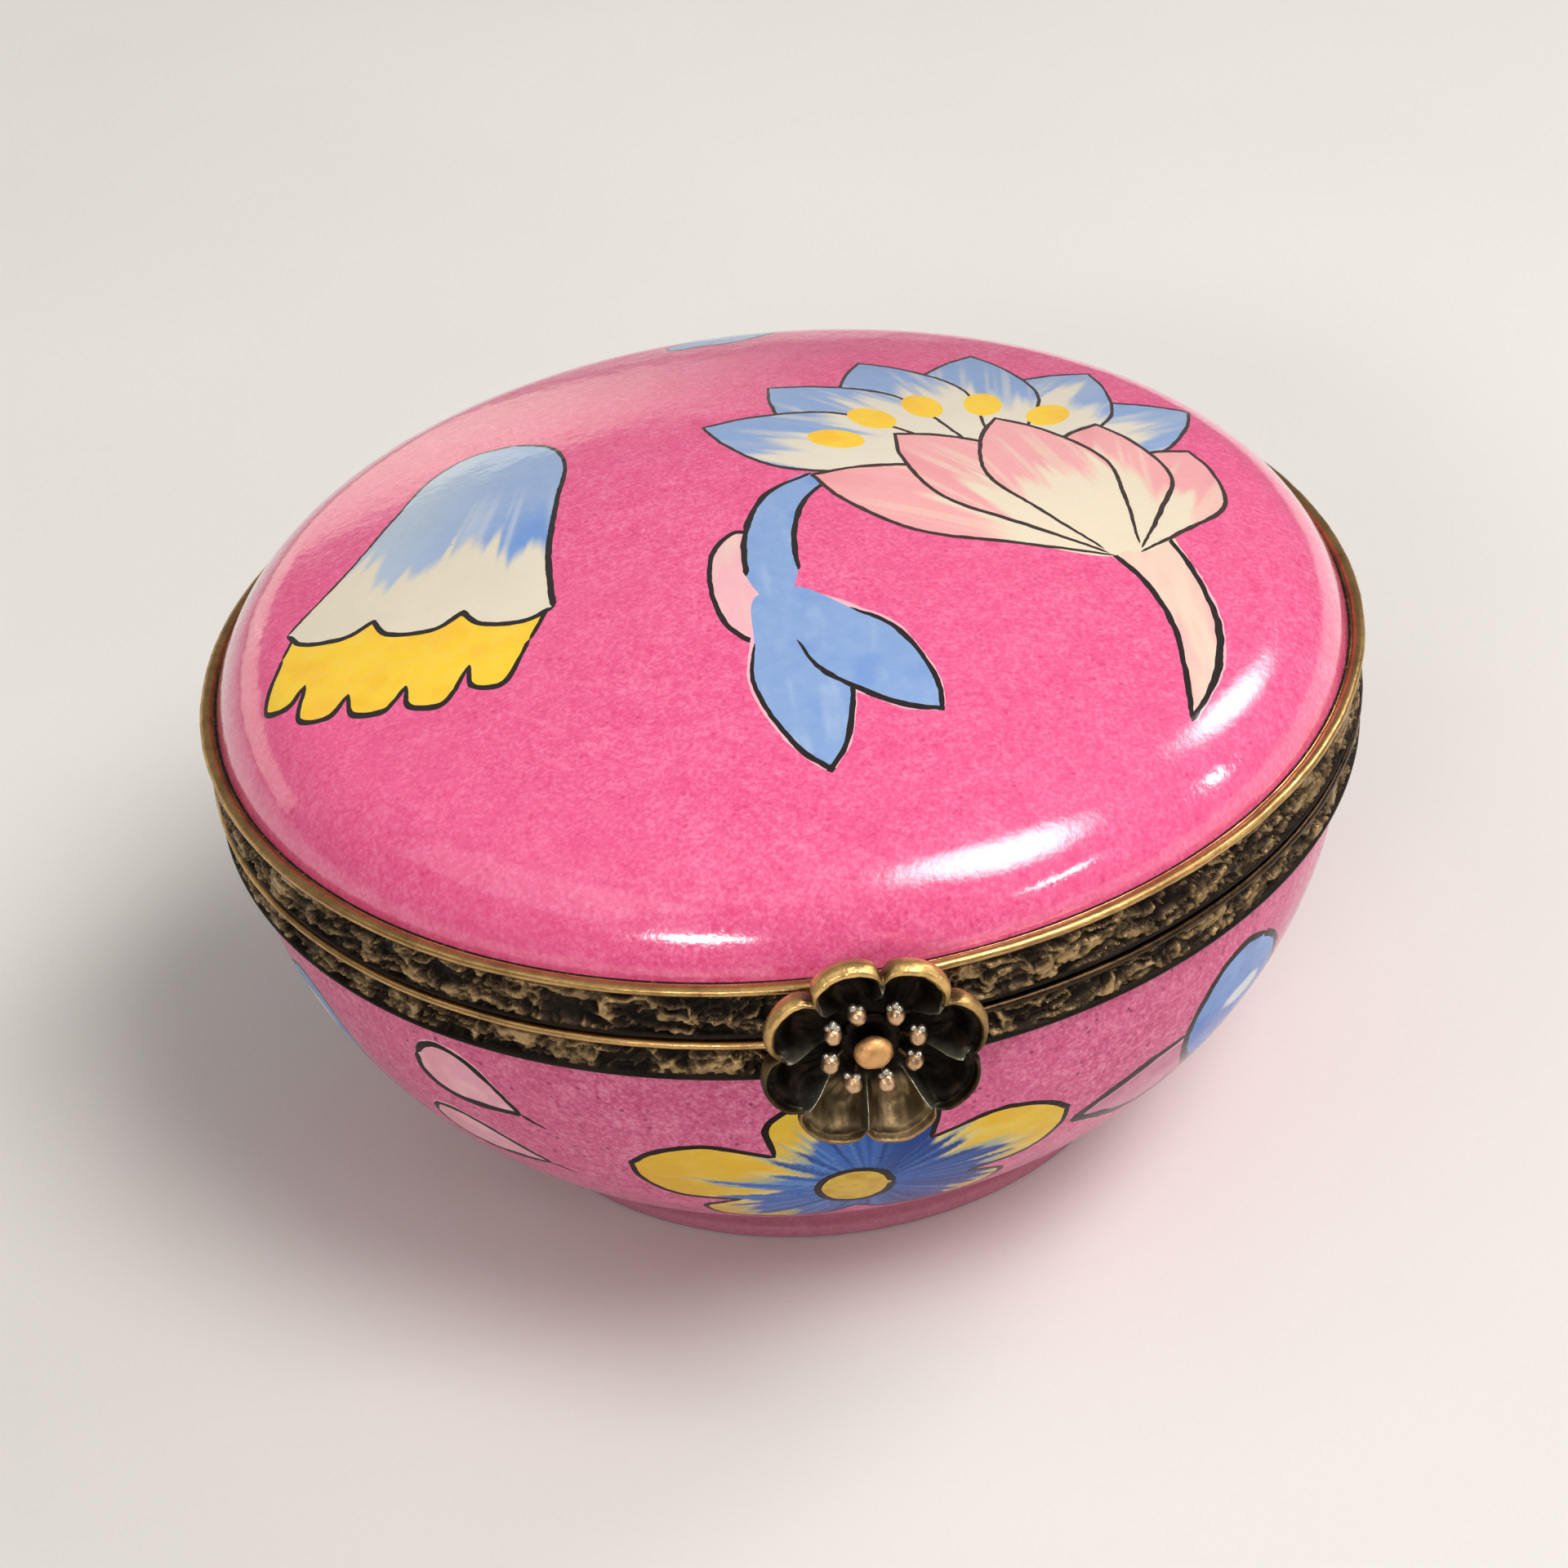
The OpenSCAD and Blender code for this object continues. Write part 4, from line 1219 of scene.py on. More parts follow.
def base_object():
    n = BASE_N
    half = math.pi * STRIP_R
    xs = (np.arange(n + 1) / n * 2 - 1) * half
    ys = np.linspace(0, -BASE_S, 34)
    ring = np.vstack([np.stack([xs, xs * 0], -1),
                      np.stack([np.full(len(ys) - 1, half), ys[1:]], -1),
                      np.stack([xs[:-1][::-1], np.full(n, -BASE_S)], -1),
                      np.stack([np.full(len(ys) - 2, -half), ys[1:-1][::-1]], -1)])
    m = len(ring)
    edges = [(i, (i + 1) % m) for i in range(m)]
    h = 0.8
    gx, gy = np.meshgrid(np.arange(-half + h / 2, half - h / 3, h), np.arange(-BASE_S + 0.4, -0.3, 0.7))
    gx = gx + (np.arange(gx.shape[0]) % 2)[:, None] * h / 2
    free = np.stack([gx.ravel(), gy.ravel()], -1)
    free = free[np.abs(free[:, 0]) < half - 0.3]
    P, F, reg = triangulate(base_paint, edges, ring, free)
    col = corner_paint(base_paint, P, F, reg)
    V, N = base_solid(P)
    # join the strip's two ends
    right = np.where(P[:, 0] > half - 1e-5)[0]
    left = np.where(P[:, 0] < -half + 1e-5)[0]
    right, left = right[np.argsort(P[right, 1])], left[np.argsort(P[left, 1])]
    if len(right) != len(left):
        raise SystemExit(f"strip ends differ: {len(right)} and {len(left)}")
    remap = np.arange(len(P))
    remap[right] = left
    a, c = P[F[:, 1]] - P[F[:, 0]], P[F[:, 2]] - P[F[:, 0]]
    flip = (a[:, 0] * c[:, 1] - a[:, 1] * c[:, 0]) < 0
    F[flip] = F[flip][:, ::-1]
    col[flip] = col[flip][:, ::-1]
    Nout = N[F]
    F = remap[F]
    keep = np.setdiff1d(np.arange(len(P)), right)
    new = -np.ones(len(P), int)
    new[keep] = np.arange(len(keep))
    F = new[F]
    top = np.where(P[keep, 1] > -1e-5)[0]
    bot = np.where(P[keep, 1] < -BASE_S + 1e-5)[0]
    top = top[np.argsort(P[keep][top, 0])]
    bot = bot[np.argsort(P[keep][bot, 0])]
    if len(top) != n or len(bot) != n:
        raise SystemExit(f"strip rims have {len(top)} and {len(bot)} points")
    V = V[keep]
    ang = np.arange(n) / n * TAU - math.pi - math.pi / 2
    xy = np.stack([np.cos(ang), np.sin(ang)], -1)
    # foot, underside and the ring it rests on: profile continues downwards from the join
    cove = sample_arc((FOOT_R + 0.5, 2.3), 1.6, 205.5, 249.0, 9)
    prof_foot = [(float(bowl_r(Z_JOIN)), Z_JOIN)] + [tuple(p) for p in cove if p[1] < Z_JOIN - 0.02] + [(FOOT_R - 0.02, 0.72), (FOOT_R, 0.62), (FOOT_R, 0.30), (FOOT_R - 0.05, 0.16), (FOOT_R - 0.16, 0.05), (FOOT_R - 0.3, 0.0),
                 (FOOT_R - 1.3, 0.0), (FOOT_R - 1.42, 0.08), (FOOT_R - 1.5, 0.3), (FOOT_R - 1.62, 0.85), (FOOT_R - 1.9, 1.05), (FOOT_R - 3.0, 1.1), (8.0, 1.12), (0.05, 1.12)]
    w = WALL
    a_in = math.asin((3.4 + 0.9 - BOWL_B) / (BOWL_RHO - w))
    prof_in = [(float(bowl_r(BOWL_H)) - 0.25, BOWL_H + 0.0), (BOWL_A + BOWL_RHO - w + 0.25, BOWL_H)]
    for t in np.linspace(math.asin((BOWL_H - 0.25 - BOWL_B) / (BOWL_RHO - w)), a_in, 36):
        prof_in.append((BOWL_A + (BOWL_RHO - w) * math.cos(t), BOWL_B + (BOWL_RHO - w) * math.sin(t)))
    r_e, z_e = prof_in[-1]
    prof_in += [(r_e - 0.75, z_e - 0.42), (r_e - 1.6, z_e - 0.68), (r_e - 2.6, z_e - 0.82), (r_e - 4.0, 3.42), (7.0, 3.4), (0.05, 3.4)]
    blocks3, blocks4, n3, n4, c3, m3, m4 = [F], [], [Nout.reshape(-1, 3)], [], [col.reshape(-1, 4)], [np.zeros(len(F))], []
    VV = [V]
    count = len(V)
    j = np.arange(n)
    j1 = (j + 1) % n
    mean_out = np.array([0, 0, 0.0])
    for prof, start, mats in ((prof_foot, bot, "foot"), (prof_in, top, "in")):
        prof = np.array(prof)
        first = prof_foot[0] if mats == "foot" else (float(bowl_r(BOWL_H)), BOWL_H)
        full = prof if mats == "foot" else np.vstack([[first], prof])
        rows = [start]
        for p in full[1:]:
            VV.append(np.concatenate([xy * p[0], np.full((n, 1), p[1])], -1))
            rows.append(count + j)
            count += n
        ns, ne = seg_normals(full, False, 40)
        if mats == "foot":
            ns, ne = -ns, -ne
        for i in range(len(full) - 1):
            A, Bq = rows[i], rows[i + 1]
            q = np.stack([A[j], Bq[j], Bq[j1], A[j1]], -1)
            nn0 = np.concatenate([xy * ns[i][0], np.full((n, 1), ns[i][1])], -1)
            nn1 = np.concatenate([xy * ne[i][0], np.full((n, 1), ne[i][1])], -1)
            blocks4.append(q)
            n4.append(np.stack([nn0[j], nn1[j], nn1[j1], nn0[j1]], 1).reshape(-1, 3))
            if mats == "foot":
                z_mid = (full[i, 1] + full[i + 1, 1]) / 2
                r_mid = (full[i, 0] + full[i + 1, 0]) / 2
                mi = 0 if (r_mid > FOOT_R - 0.25 or (z_mid > 0.2 and i < len(cove) + 4)) else (2 if r_mid > FOOT_R - 1.5 else 1)
            else:
                mi = 2 if i == 1 else 1
            m4.append(np.full(n, mi))
        VV.append(np.array([[0, 0, full[-1, 1]]]))
        fan = np.stack([rows[-1][j], np.full(n, count), rows[-1][j1]], -1)
        count += 1
        blocks3.append(fan)
        n3.append(np.tile([0, 0, -1.0 if mats == "foot" else 1.0], (n * 3, 1)))
        c3.append(np.zeros((n * 3, 4)))
        m3.append(np.full(n, 1))
    VV = np.vstack(VV)
    T = np.vstack(blocks3)
    Q = np.vstack(blocks4)
    # every face turned to agree with its own normal
    NT, NQ = np.vstack(n3), np.vstack(n4)
    CT = np.vstack(c3)

    def agree(Fc, Nc, k, Cc=None):
        g = np.cross(VV[Fc[:, 1]] - VV[Fc[:, 0]], VV[Fc[:, 2]] - VV[Fc[:, 1]])
        Nr = Nc.reshape(-1, k, 3)
        bad = np.einsum("ij,ij->i", g, Nr.mean(1)) < 0
        return bad
    bad = agree(Q, NQ, 4)
    Qn = NQ.reshape(-1, 4, 3)
    # quads are wound alike within each profile: flip whole set if needed, and normals where they disagree
    Qf = Q.copy()
    Qf[bad] = Q[bad][:, ::-1]
    Qn2 = Qn.copy()
    Qn2[bad] = Qn[bad][:, ::-1]
    bad3 = agree(T, NT, 3)
    Tf = T.copy()
    Tf[bad3] = T[bad3][:, ::-1]
    Tn = NT.reshape(-1, 3, 3).copy()
    Tn[bad3] = NT.reshape(-1, 3, 3)[bad3][:, ::-1]
    Tc = CT.reshape(-1, 3, 4).copy()
    Tc[bad3] = CT.reshape(-1, 3, 4)[bad3][:, ::-1]
    qc = np.zeros((len(Qf), 4, 4))
    # the foot takes a muted pink, darker in the cove right under the bowl as painted shade where the bowl overhangs it,
    # paler on the ring below
    foot = np.where((np.concatenate(m4) == 0))[0]
    zq = VV[Qf[foot]][:, :, 2]
    qc[foot, :, :3] = np.where((zq > 1.2)[..., None], srgb(128, 62, 84), srgb(176, 120, 134))
    qc[foot, :, 3] = 0.75
    cols = np.vstack([Tc.reshape(-1, 4), qc.reshape(-1, 4)])
    mats_all = np.concatenate(m3 + m4)
    return build("base_porcelain", VV, [Tf, Qf], np.vstack([Tn.reshape(-1, 3), Qn2.reshape(-1, 3)]), [BASE_GLAZE, WHITE, BISCUIT], mats_all, {"paint": cols})


base = base_object()
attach(base, "base")
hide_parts("base_shell")


# ----------------------------------------------------------------------------
# chased brass mounts
# ----------------------------------------------------------------------------
def bark(th, z, seed):
    """Chased pattern of overlapping strokes like bark and small leaves, 0 in the hollows to 1 on the ridges."""
    R = 27.7

    def at(t, zz, k=1.0):
        return np.stack([R * np.cos(t) * k, R * np.sin(t) * k, zz * k], -1)
    p = at(th, z) * 0.95
    w1 = fbm(p * 0.8, 2, seed + 20) - 0.5
    w2 = fbm(p * 0.8 + 31, 2, seed + 21) - 0.5
    w3 = fbm(p * 2.4 + 11, 2, seed + 22) - 0.5
    t = th + (w1 * 1.9 + w3 * 0.5) / R
    zz = z + w2 * 1.0 + w3 * 0.3
    # wavy strands that run along the band and dip
    long_ = ridged(at(t, zz * 4.4, 0.50), 2, seed)
    # short slanting strokes laid over them, leaning one way then the other
    lean = np.sign(fbm(p * 0.35 + 77, 1, seed + 9) - 0.5)
    slant = ridged(np.stack([R * np.cos(t + lean * z * 0.03), R * np.sin(t + lean * z * 0.03), zz * 0.6], -1) * 1.45 + 50, 2, seed + 3)
    grain = ridged(at(t, zz * 1.5, 3.0) + 90, 2, seed + 6)
    patch = smooth(0.38, 0.62, fbm(p * 0.5 + 5, 2, seed + 12))
    h = (0.62 - 0.18 * patch) * long_ + (0.22 + 0.22 * patch) * slant + 0.18 * grain
    return np.clip(smooth(0.26, 0.78, h), 0, 1) ** 1.25


def mount(name, wall, rest, z0, z1, seed, n=2000, dull=None):
    """wall: profile points of the chased wall from low to high; rest: the other points of the closed section."""
    prof = np.array(wall + rest, float)
    k, kw = len(prof), len(wall)
    xy = ring_xy(n)
    th = np.arange(n) / n * TAU
    V = np.empty((k, n, 3))
    V[:, :, :2] = prof[:, None, :1] * xy[None]
    V[:, :, 2] = prof[:, None, 1]
    relief = np.tile(0.30 + 0.22 * fbm(np.stack([9 * np.cos(th), 9 * np.sin(th), th * 0], -1), 3, seed + 60), (k, 1))
    zc = np.array([p[1] for p in wall])
    inner = smooth(z0, z0 + 0.14, zc) * (1 - smooth(z1 - 0.14, z1, zc))
    for i in range(kw):
        z = prof[i, 1]
        h = bark(th, np.full(n, z), seed)
        V[i, :, :2] += xy * ((h - 0.68) * 0.46 * inner[i])[:, None]
        q = np.stack([27.7 * np.cos(th), 27.7 * np.sin(th), np.full(n, z)], -1)
        V[i, :, 2] += (fbm(q * 2.2, 2, seed + 31) - 0.5) * 0.05 * inner[i]
        relief[i] = (0.06 + 0.86 * h) * inner[i] + (1 - inner[i]) * 0.16
    # slight hand-finished waver of the lips
    for i in range(kw, k):
        if prof[i, 0] > 27.35:
            q = np.stack([27.7 * np.cos(th), 27.7 * np.sin(th), np.full(n, prof[i, 1])], -1)
            V[i, :, :2] += xy * ((fbm(q * 0.5, 2, seed + 40) - 0.5) * 0.05 + (fbm(q * 2.0, 2, seed + 41) - 0.5) * 0.02)[:, None]
    j = np.arange(n)
    j1 = (j + 1) % n
    F, M, C = [], [], []
    for i in range(k):
        i1 = (i + 1) % k
        F.append(np.stack([i * n + j, i * n + j1, i1 * n + j1, i1 * n + j], -1))
        if i < kw - 1:
            m = 0
        else:
            r_m, z_m = (prof[i, 0] + prof[i1, 0]) / 2, (prof[i, 1] + prof[i1, 1]) / 2
            m = 1 if (z_m > z1 - 0.1 and r_m > LIP_IN) else 3 if (z_m > z1 - 0.1 and r_m > 26.9) else 2
        mm = np.full(n, m)
        M.append(mm)
        c = np.stack([relief[i][j], relief[i][j1], relief[i1][j1], relief[i1][j]], 1)
        c = np.repeat(c.reshape(-1, 1), 4, 1)
        if m == 1:
            az = (np.degrees(th) + 90 + 180) % 360 - 180
            az = np.stack([az, az + 360 / n, az + 360 / n, az], 1).reshape(-1)
            c[:, 1] = smooth(dull[0], dull[0] + 8, az) * (1 - smooth(dull[1] - 30, dull[1], az)) if dull else 0
        C.append(c)
    C = np.vstack(C)
    C[:, 3] = 1
    return build(name, V.reshape(-1, 3), [np.vstack(F)], None, [CHASED, LIP, PLAIN_BRASS, SEAM], np.concatenate(M), {"relief": C})


LIP_IN = 27.34


def arc_pts(c, r, a0, a1, n, wide=1.0):
    return [(c[0] + (p[0] - c[0]) * wide, p[1]) for p in sample_arc(c, r, a0, a1, n)]


# lid mount: lower bead, chased wall, polished lip, a dark seam down to the porcelain, inside and flange
zb = PART_Z + HALF_GAP
lid_wall = arc_pts((27.66, zb + 0.15), 0.13, -60, 60, 5) + [(27.72, z) for z in np.linspace(zb + 0.30, 23.93, 30)]
lid_rest = arc_pts((27.69, 24.17), 0.23, -65, 180, 16, wide=1.28) + [(27.38, 24.2), (27.34, 24.24), (27.22, 24.25), (27.16, 24.1), (27.3, 23.8), (27.3, 22.1), (24.95, 22.06), (24.72, 21.98), (24.66, 21.81), (24.72, 21.64), (24.95, 21.56), (27.5, 21.56)]
lid_band = mount("lid_brass_mount", lid_wall, lid_rest, zb + 0.22, 23.99, 400)
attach(lid_band, "lid")
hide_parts("lid_mount")

zt = PART_Z - HALF_GAP
base_wall = arc_pts((27.64, 19.46), 0.16, -90, 60, 6) + [(27.66, z) for z in np.linspace(19.68, 21.0, 21)]
base_rest = arc_pts((27.7, zt - 0.19), 0.19, -90, 100, 11, wide=1.1) + [(27.55, zt), (24.95, zt), (24.72, zt - 0.08), (24.64, zt - 0.27), (24.72, zt - 0.46), (24.95, zt - 0.54), (27.22, 20.88), (27.25, 20.8), (27.25, 19.4), (27.4, 19.32)]
base_band = mount("base_brass_mount", base_wall, base_rest, 19.60, 21.06, 500, dull=(0, 150))
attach(base_band, "base")
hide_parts("base_mount")


# ----------------------------------------------------------------------------
# flower clasp
# ----------------------------------------------------------------------------
FLZ = 22.3                      # height of the flower's centre
FL_TURN = math.radians(9)        # the flower is soldered on a little askew


def petals():
    na = 720
    ring, pr = 2.92, 1.90
    a = np.arange(na) / na * TAU
    psi = a % (TAU / 8) - TAU / 16
    pid = np.floor(a / (TAU / 8)).astype(int) % 8
    rng = np.random.default_rng(12)
    vary = rng.uniform(-1, 1, 8)
    wide = ring * np.cos(psi) + np.sqrt(np.maximum(pr ** 2 - (ring * np.sin(psi)) ** 2, 0))
    notch = np.exp(-((np.abs(psi) - TAU / 16) / 0.05) ** 2)
    R = wide * (1 + 0.014 * vary[pid] * np.cos(psi * 4)) - 0.20 * notch
    R = R + 0.05 * (fbm(np.stack([4 * np.cos(a), 4 * np.sin(a), a * 0], -1), 2, 612) - 0.5)
    mid = (pid + 0.5) * TAU / 8 + FL_TURN                   # each petal's own direction
    # painted light: the upper petals and the upper side of each rim are painted brighter as painted highlights, and the
    # lower petals' insides lighter as if lit from above
    up = smooth(-0.25, 0.45, np.cos(mid))
    lower_lit = smooth(-0.55, -0.85, np.cos(mid))
    upper_lit = smooth(-0.20, 0.75, np.cos(a + FL_TURN))
    rim_w = 0.15 + 0.25 * upper_lit
    mid_arc = smooth(0.02, 0.36, 1 - np.abs(psi) / (TAU / 16))
    # the lower-left petal gets less of that lightening: painted shade
    lower_lit = lower_lit * np.where(pid == 4, 0.62, 1.0)
    up = upper_lit * 0.6 + up * 0.4
    black, bronze, gold, lit_rose, silver_glint = srgb(22, 16, 13), srgb(70, 54, 36), srgb(232, 188, 118), srgb(176, 134, 92), srgb(150, 148, 130)
    lit_in = srgb(146, 124, 90)
    t = np.concatenate([np.linspace(0.0, 0.80, 40, endpoint=False), np.linspace(0.80, 1.0, 22)])
    V, C = [], []
    for tt in t:
        rho = tt * R
        u, v = rho * np.cos(psi) - ring, rho * np.sin(psi)
        cup = np.hypot(u, v)
        edge = (1 - tt) * R
        q = np.stack([rho * np.cos(a), rho * np.sin(a), np.zeros(na)], -1)
        # cup floor, rising to the rim; a ridge where two petals meet
        floor_y = FL_BACK - 0.30 - 0.10 * smooth(2.2, 0.8, rho)
        rise = smooth(0.55, 1.42, cup) * smooth(ring - 0.9, ring + 0.2, rho)
        y = floor_y - 0.98 * rise ** 1.3
        gap = (TAU / 16 - np.abs(psi)) * np.maximum(rho, 0.6)
        ridge = np.exp(-(gap / 0.13) ** 2) * smooth(1.7, 2.5, rho)
        y = y - (0.34 + 0.30 * smooth(2.0, 3.6, rho)) * ridge * (1 - smooth(0.0, 0.25, 0.42 - edge))
        x = np.clip(edge / rim_w, 0, 1)
        y_rim = FL_FRONT + 0.03 + 0.5 * rim_w * (1 - np.sqrt(np.clip(1 - (2 * x - 1) ** 2, 0, 1)))
        inside_rim = smooth(1.0, 1.7, edge / rim_w)
        y = np.where(edge <= rim_w, y_rim, y_rim * (1 - inside_rim) + y * inside_rim)
        y = y + np.sin(psi * 44 + 1.3 * np.sin(rho * 2.1 + pid)) * 0.016 * smooth(1.9, 2.6, rho) * (edge > rim_w)
        y = y + (fbm(q * 1.7, 3, 620) - 0.5) * 0.10 * smooth(0.8, 2.0, rho) + (fbm(q * 5.0, 2, 621) - 0.5) * 0.035
        ang = a + FL_TURN
        V.append(np.stack([rho * np.sin(ang), y, FLZ + rho * np.cos(ang)], -1))
        rim_m = 1 - smooth(0.95, 1.25, edge / rim_w)
        mott = fbm(q * 1.9 + 7, 3, 640)
        # black with random bronze mottling is the metal's own patina; the lower petals' insides are lightened towards
        # lit_in as painted light from above
        c = blend_cols([black, bronze, lit_in], [0.30 * smooth(0.45, 0.7, mott) * smooth(1.6, 2.6, rho), lower_lit * smooth(2.1, 2.7, rho) * (0.45 + 0.5 * smooth(0.35, 0.65, mott))])
        # silvery lines on the ridges between petals: painted glints of reflected light on worn ridges, less on the
        # upper petals
        ridge_glint = ridge * (1 - 0.65 * up) * (1 - rim_m) * (0.5 + 0.5 * (np.sin(mid + psi) != 2))
        c = blend_cols([c, silver_glint, gold], [np.clip(ridge_glint * 0.85, 0, 1), ridge * up * (1 - rim_m) * 0.35]) if False else c * (1 - np.clip(ridge_glint * 0.85, 0, 1)[:, None]) + silver_glint * np.clip(ridge_glint * 0.85, 0, 1)[:, None]
        # gold rims mostly on the upper side: rubbed brass with a painted highlight where the light falls
        k = rim_m * (0.05 + 0.95 * upper_lit) * (0.85 + 0.15 * smooth(0.3, 0.5, mott)) * (0.25 + 0.75 * mid_arc)
        c = c * (1 - k[:, None]) + gold * k[:, None]
        # a rose-brown tint on the lower petals' rims: painted light
        k = rim_m * lower_lit * 0.55
        c = c * (1 - k[:, None]) + lit_rose * k[:, None]
        pol = np.clip(rim_m * 0.9 * (0.3 + 0.7 * up) + ridge_glint, 0, 1)
        C.append(np.concatenate([c, pol[:, None]], -1))
    # outer wall and back
    for k, (f, yb) in enumerate(((1.010, FL_FRONT + 0.28), (1.016, PETAL_Y + 0.30), (1.0, PETAL_Y + 0.62), (0.965, PETAL_Y + 0.92), (0.90, FL_BACK - 0.36), (0.80, FL_BACK - 0.12), (0.68, FL_BACK), (0.3, FL_BACK), (0.16, FL_BACK), (0.155, -28.6))):
        rho = R * f - (0.10 * notch * min(k, 4) if f > 0.6 else 0) if f > 0.4 else np.full(na, R.mean() * f)
        q = np.stack([rho * np.cos(a), rho * np.sin(a), np.full(na, yb)], -1)
        rho = rho + (fbm(q * 1.6, 3, 660) - 0.5) * (0.06 if f > 0.4 else 0)
        ang = a + FL_TURN
        V.append(np.stack([rho * np.sin(ang), np.full(na, float(yb)), FLZ - (FLZ - FLOWER_Z) * (f < 0.4) + rho * np.cos(ang)], -1))
        # gold on the upper side of the wall is a painted highlight, with less of it towards the back
        g = (0.06 + 0.85 * upper_lit) * (0.15 + 0.85 * mid_arc) * (0.95 if k < 3 else 0.7 if k < 5 else 0.35)
        mott = fbm(q * 1.9 + 7, 3, 641)
        g = g * (0.7 + 0.3 * smooth(0.3, 0.55, mott))
        c = black * (1 - g[:, None]) + gold * g[:, None]
        C.append(np.concatenate([c, (g * 0.8)[:, None]], -1))
    V, C = np.array(V), np.array(C)
    k = len(V)
    j = np.arange(na)
    j1 = (j + 1) % na
    F, CC = [], []
    for i in range(1, k - 1):
        F.append(np.stack([i * na + j, i * na + j1, (i + 1) * na + j1, (i + 1) * na + j], -1))
        CC.append(np.stack([C[i][j], C[i][j1], C[i + 1][j1], C[i + 1][j]], 1))
    F4, C4 = np.vstack(F), np.vstack(CC)
    verts = V.reshape(-1, 3)
    c_f, c_b = len(verts), len(verts) + 1
    verts = np.vstack([verts, V[0].mean(0)[None], V[-1].mean(0)[None]])
    T = np.vstack([np.stack([na + j1, na + j, np.full(na, c_f)], -1), np.stack([(k - 1) * na + j, (k - 1) * na + j1, np.full(na, c_b)], -1)])
    CT = np.tile(np.append(black, 0.2), (len(T), 3, 1))
    used = np.unique(np.concatenate([F4.ravel(), T.ravel()]))
    new = -np.ones(len(verts), int)
    new[used] = np.arange(len(used))
    F4, T, verts = new[F4], new[T], verts[used]
    tri = np.vstack([T, F4[:, [0, 1, 2]], F4[:, [0, 2, 3]]])
    if signed(verts - verts.mean(0), tri) < 0:
        F4, T, C4 = F4[:, ::-1], T[:, ::-1], C4[:, ::-1]
    return build("flower_petals", verts, [T, F4], None, [PETAL_BRASS], None, {"tone": np.vstack([CT.reshape(-1, 4), C4.reshape(-1, 4)])})


fl = petals()
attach(fl, "clasp")
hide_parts("clasp_petals")


def lump(centre, r, seed, squash=(1, 1, 1), dent=0.06, seg=40, freq=1.6, tone=(190, 150, 100), dark=(90, 64, 44), pol=0.6):
    """A worn cast bead: a closed ball with dents, in mm. Returns verts, quads, tris and a tone per vertex."""
    nu, nv = seg, seg // 2
    V = []
    for i in range(1, nv):
        p = math.pi * i / nv
        for jn in range(nu):
            t = TAU * jn / nu
            V.append((math.sin(p) * math.cos(t), math.cos(p), math.sin(p) * math.sin(t)))
    V = np.array(V + [(0, 1, 0), (0, -1, 0)])
    h = fbm(V * freq + seed * 3.7, 3, seed) - 0.5
    P = V * (r * (1 + dent * 2 * h))[:, None] * np.array(squash) + np.array(centre)
    j = np.arange(nu)
    j1 = (j + 1) % nu
    Q = np.vstack([np.stack([i * nu + j, i * nu + j1, (i + 1) * nu + j1, (i + 1) * nu + j], -1) for i in range(nv - 2)])
    a, b = len(V) - 2, len(V) - 1
    T = np.vstack([np.stack([j1, j, np.full(nu, a)], -1), np.stack([(nv - 2) * nu + j, (nv - 2) * nu + j1, np.full(nu, b)], -1)])
    w = smooth(-0.35, 0.25, h * 1.4 - V[:, 1] * 0.30 + 0.05)
    c = srgb(*dark) * (1 - w[:, None]) + srgb(*tone) * w[:, None]
    return P, Q, T, np.concatenate([c, (w * pol)[:, None]], -1)


def join(parts, name, mats):
    VV, QQ, TT, RR, off = [], [], [], [], 0
    for P, Q, T, tone in parts:
        tri = np.vstack([T, Q[:, [0, 1, 2]], Q[:, [0, 2, 3]]]) if len(T) else np.vstack([Q[:, [0, 1, 2]], Q[:, [0, 2, 3]]])
        if signed(P - P.mean(0), tri) < 0:
            Q, T = Q[:, ::-1], T[:, ::-1]
        VV.append(P)
        QQ.append(Q + off)
        TT.append(T + off)
        RR.append(tone)
        off += len(P)
    VV, QQ, TT, RR = np.vstack(VV), np.vstack(QQ), np.vstack(TT), np.vstack(RR)
    return build(name, VV, [TT, QQ], None, mats, None, {"tone": np.concatenate([RR[TT.ravel()], RR[QQ.ravel()]])})


def rod(p0, p1, r0, r1, seed, n=20, k=6, tone=(70, 52, 38), pol=0.3):
    p0, p1 = np.array(p0, float), np.array(p1, float)
    d = (p1 - p0) / np.linalg.norm(p1 - p0)
    x = np.cross(d, [0.31, 0.5, 0.81])
    x /= np.linalg.norm(x)
    y = np.cross(d, x)
    V = []
    for i in range(k):
        t = i / (k - 1)
        r = r0 + (r1 - r0) * t
        a = np.arange(n) / n * TAU
        V.append(p0 + (p1 - p0) * t + r * (np.cos(a)[:, None] * x + np.sin(a)[:, None] * y))
    V = np.vstack(V + [p0[None], p1[None]])
    j = np.arange(n)
    j1 = (j + 1) % n
    Q = np.vstack([np.stack([i * n + j1, i * n + j, (i + 1) * n + j, (i + 1) * n + j1], -1) for i in range(k - 1)])
    T = np.vstack([np.stack([j, j1, np.full(n, k * n)], -1), np.stack([(k - 1) * n + j1, (k - 1) * n + j, np.full(n, k * n + 1)], -1)])
    c = srgb(*tone) * (0.7 + 0.6 * vnoise(V * 3.0, seed))[:, None]
    return V, Q, T, np.concatenate([c, np.full((len(V), 1), pol)], -1)


floor_y = FL_BACK - 0.35
parts = []
rng = np.random.default_rng(5)
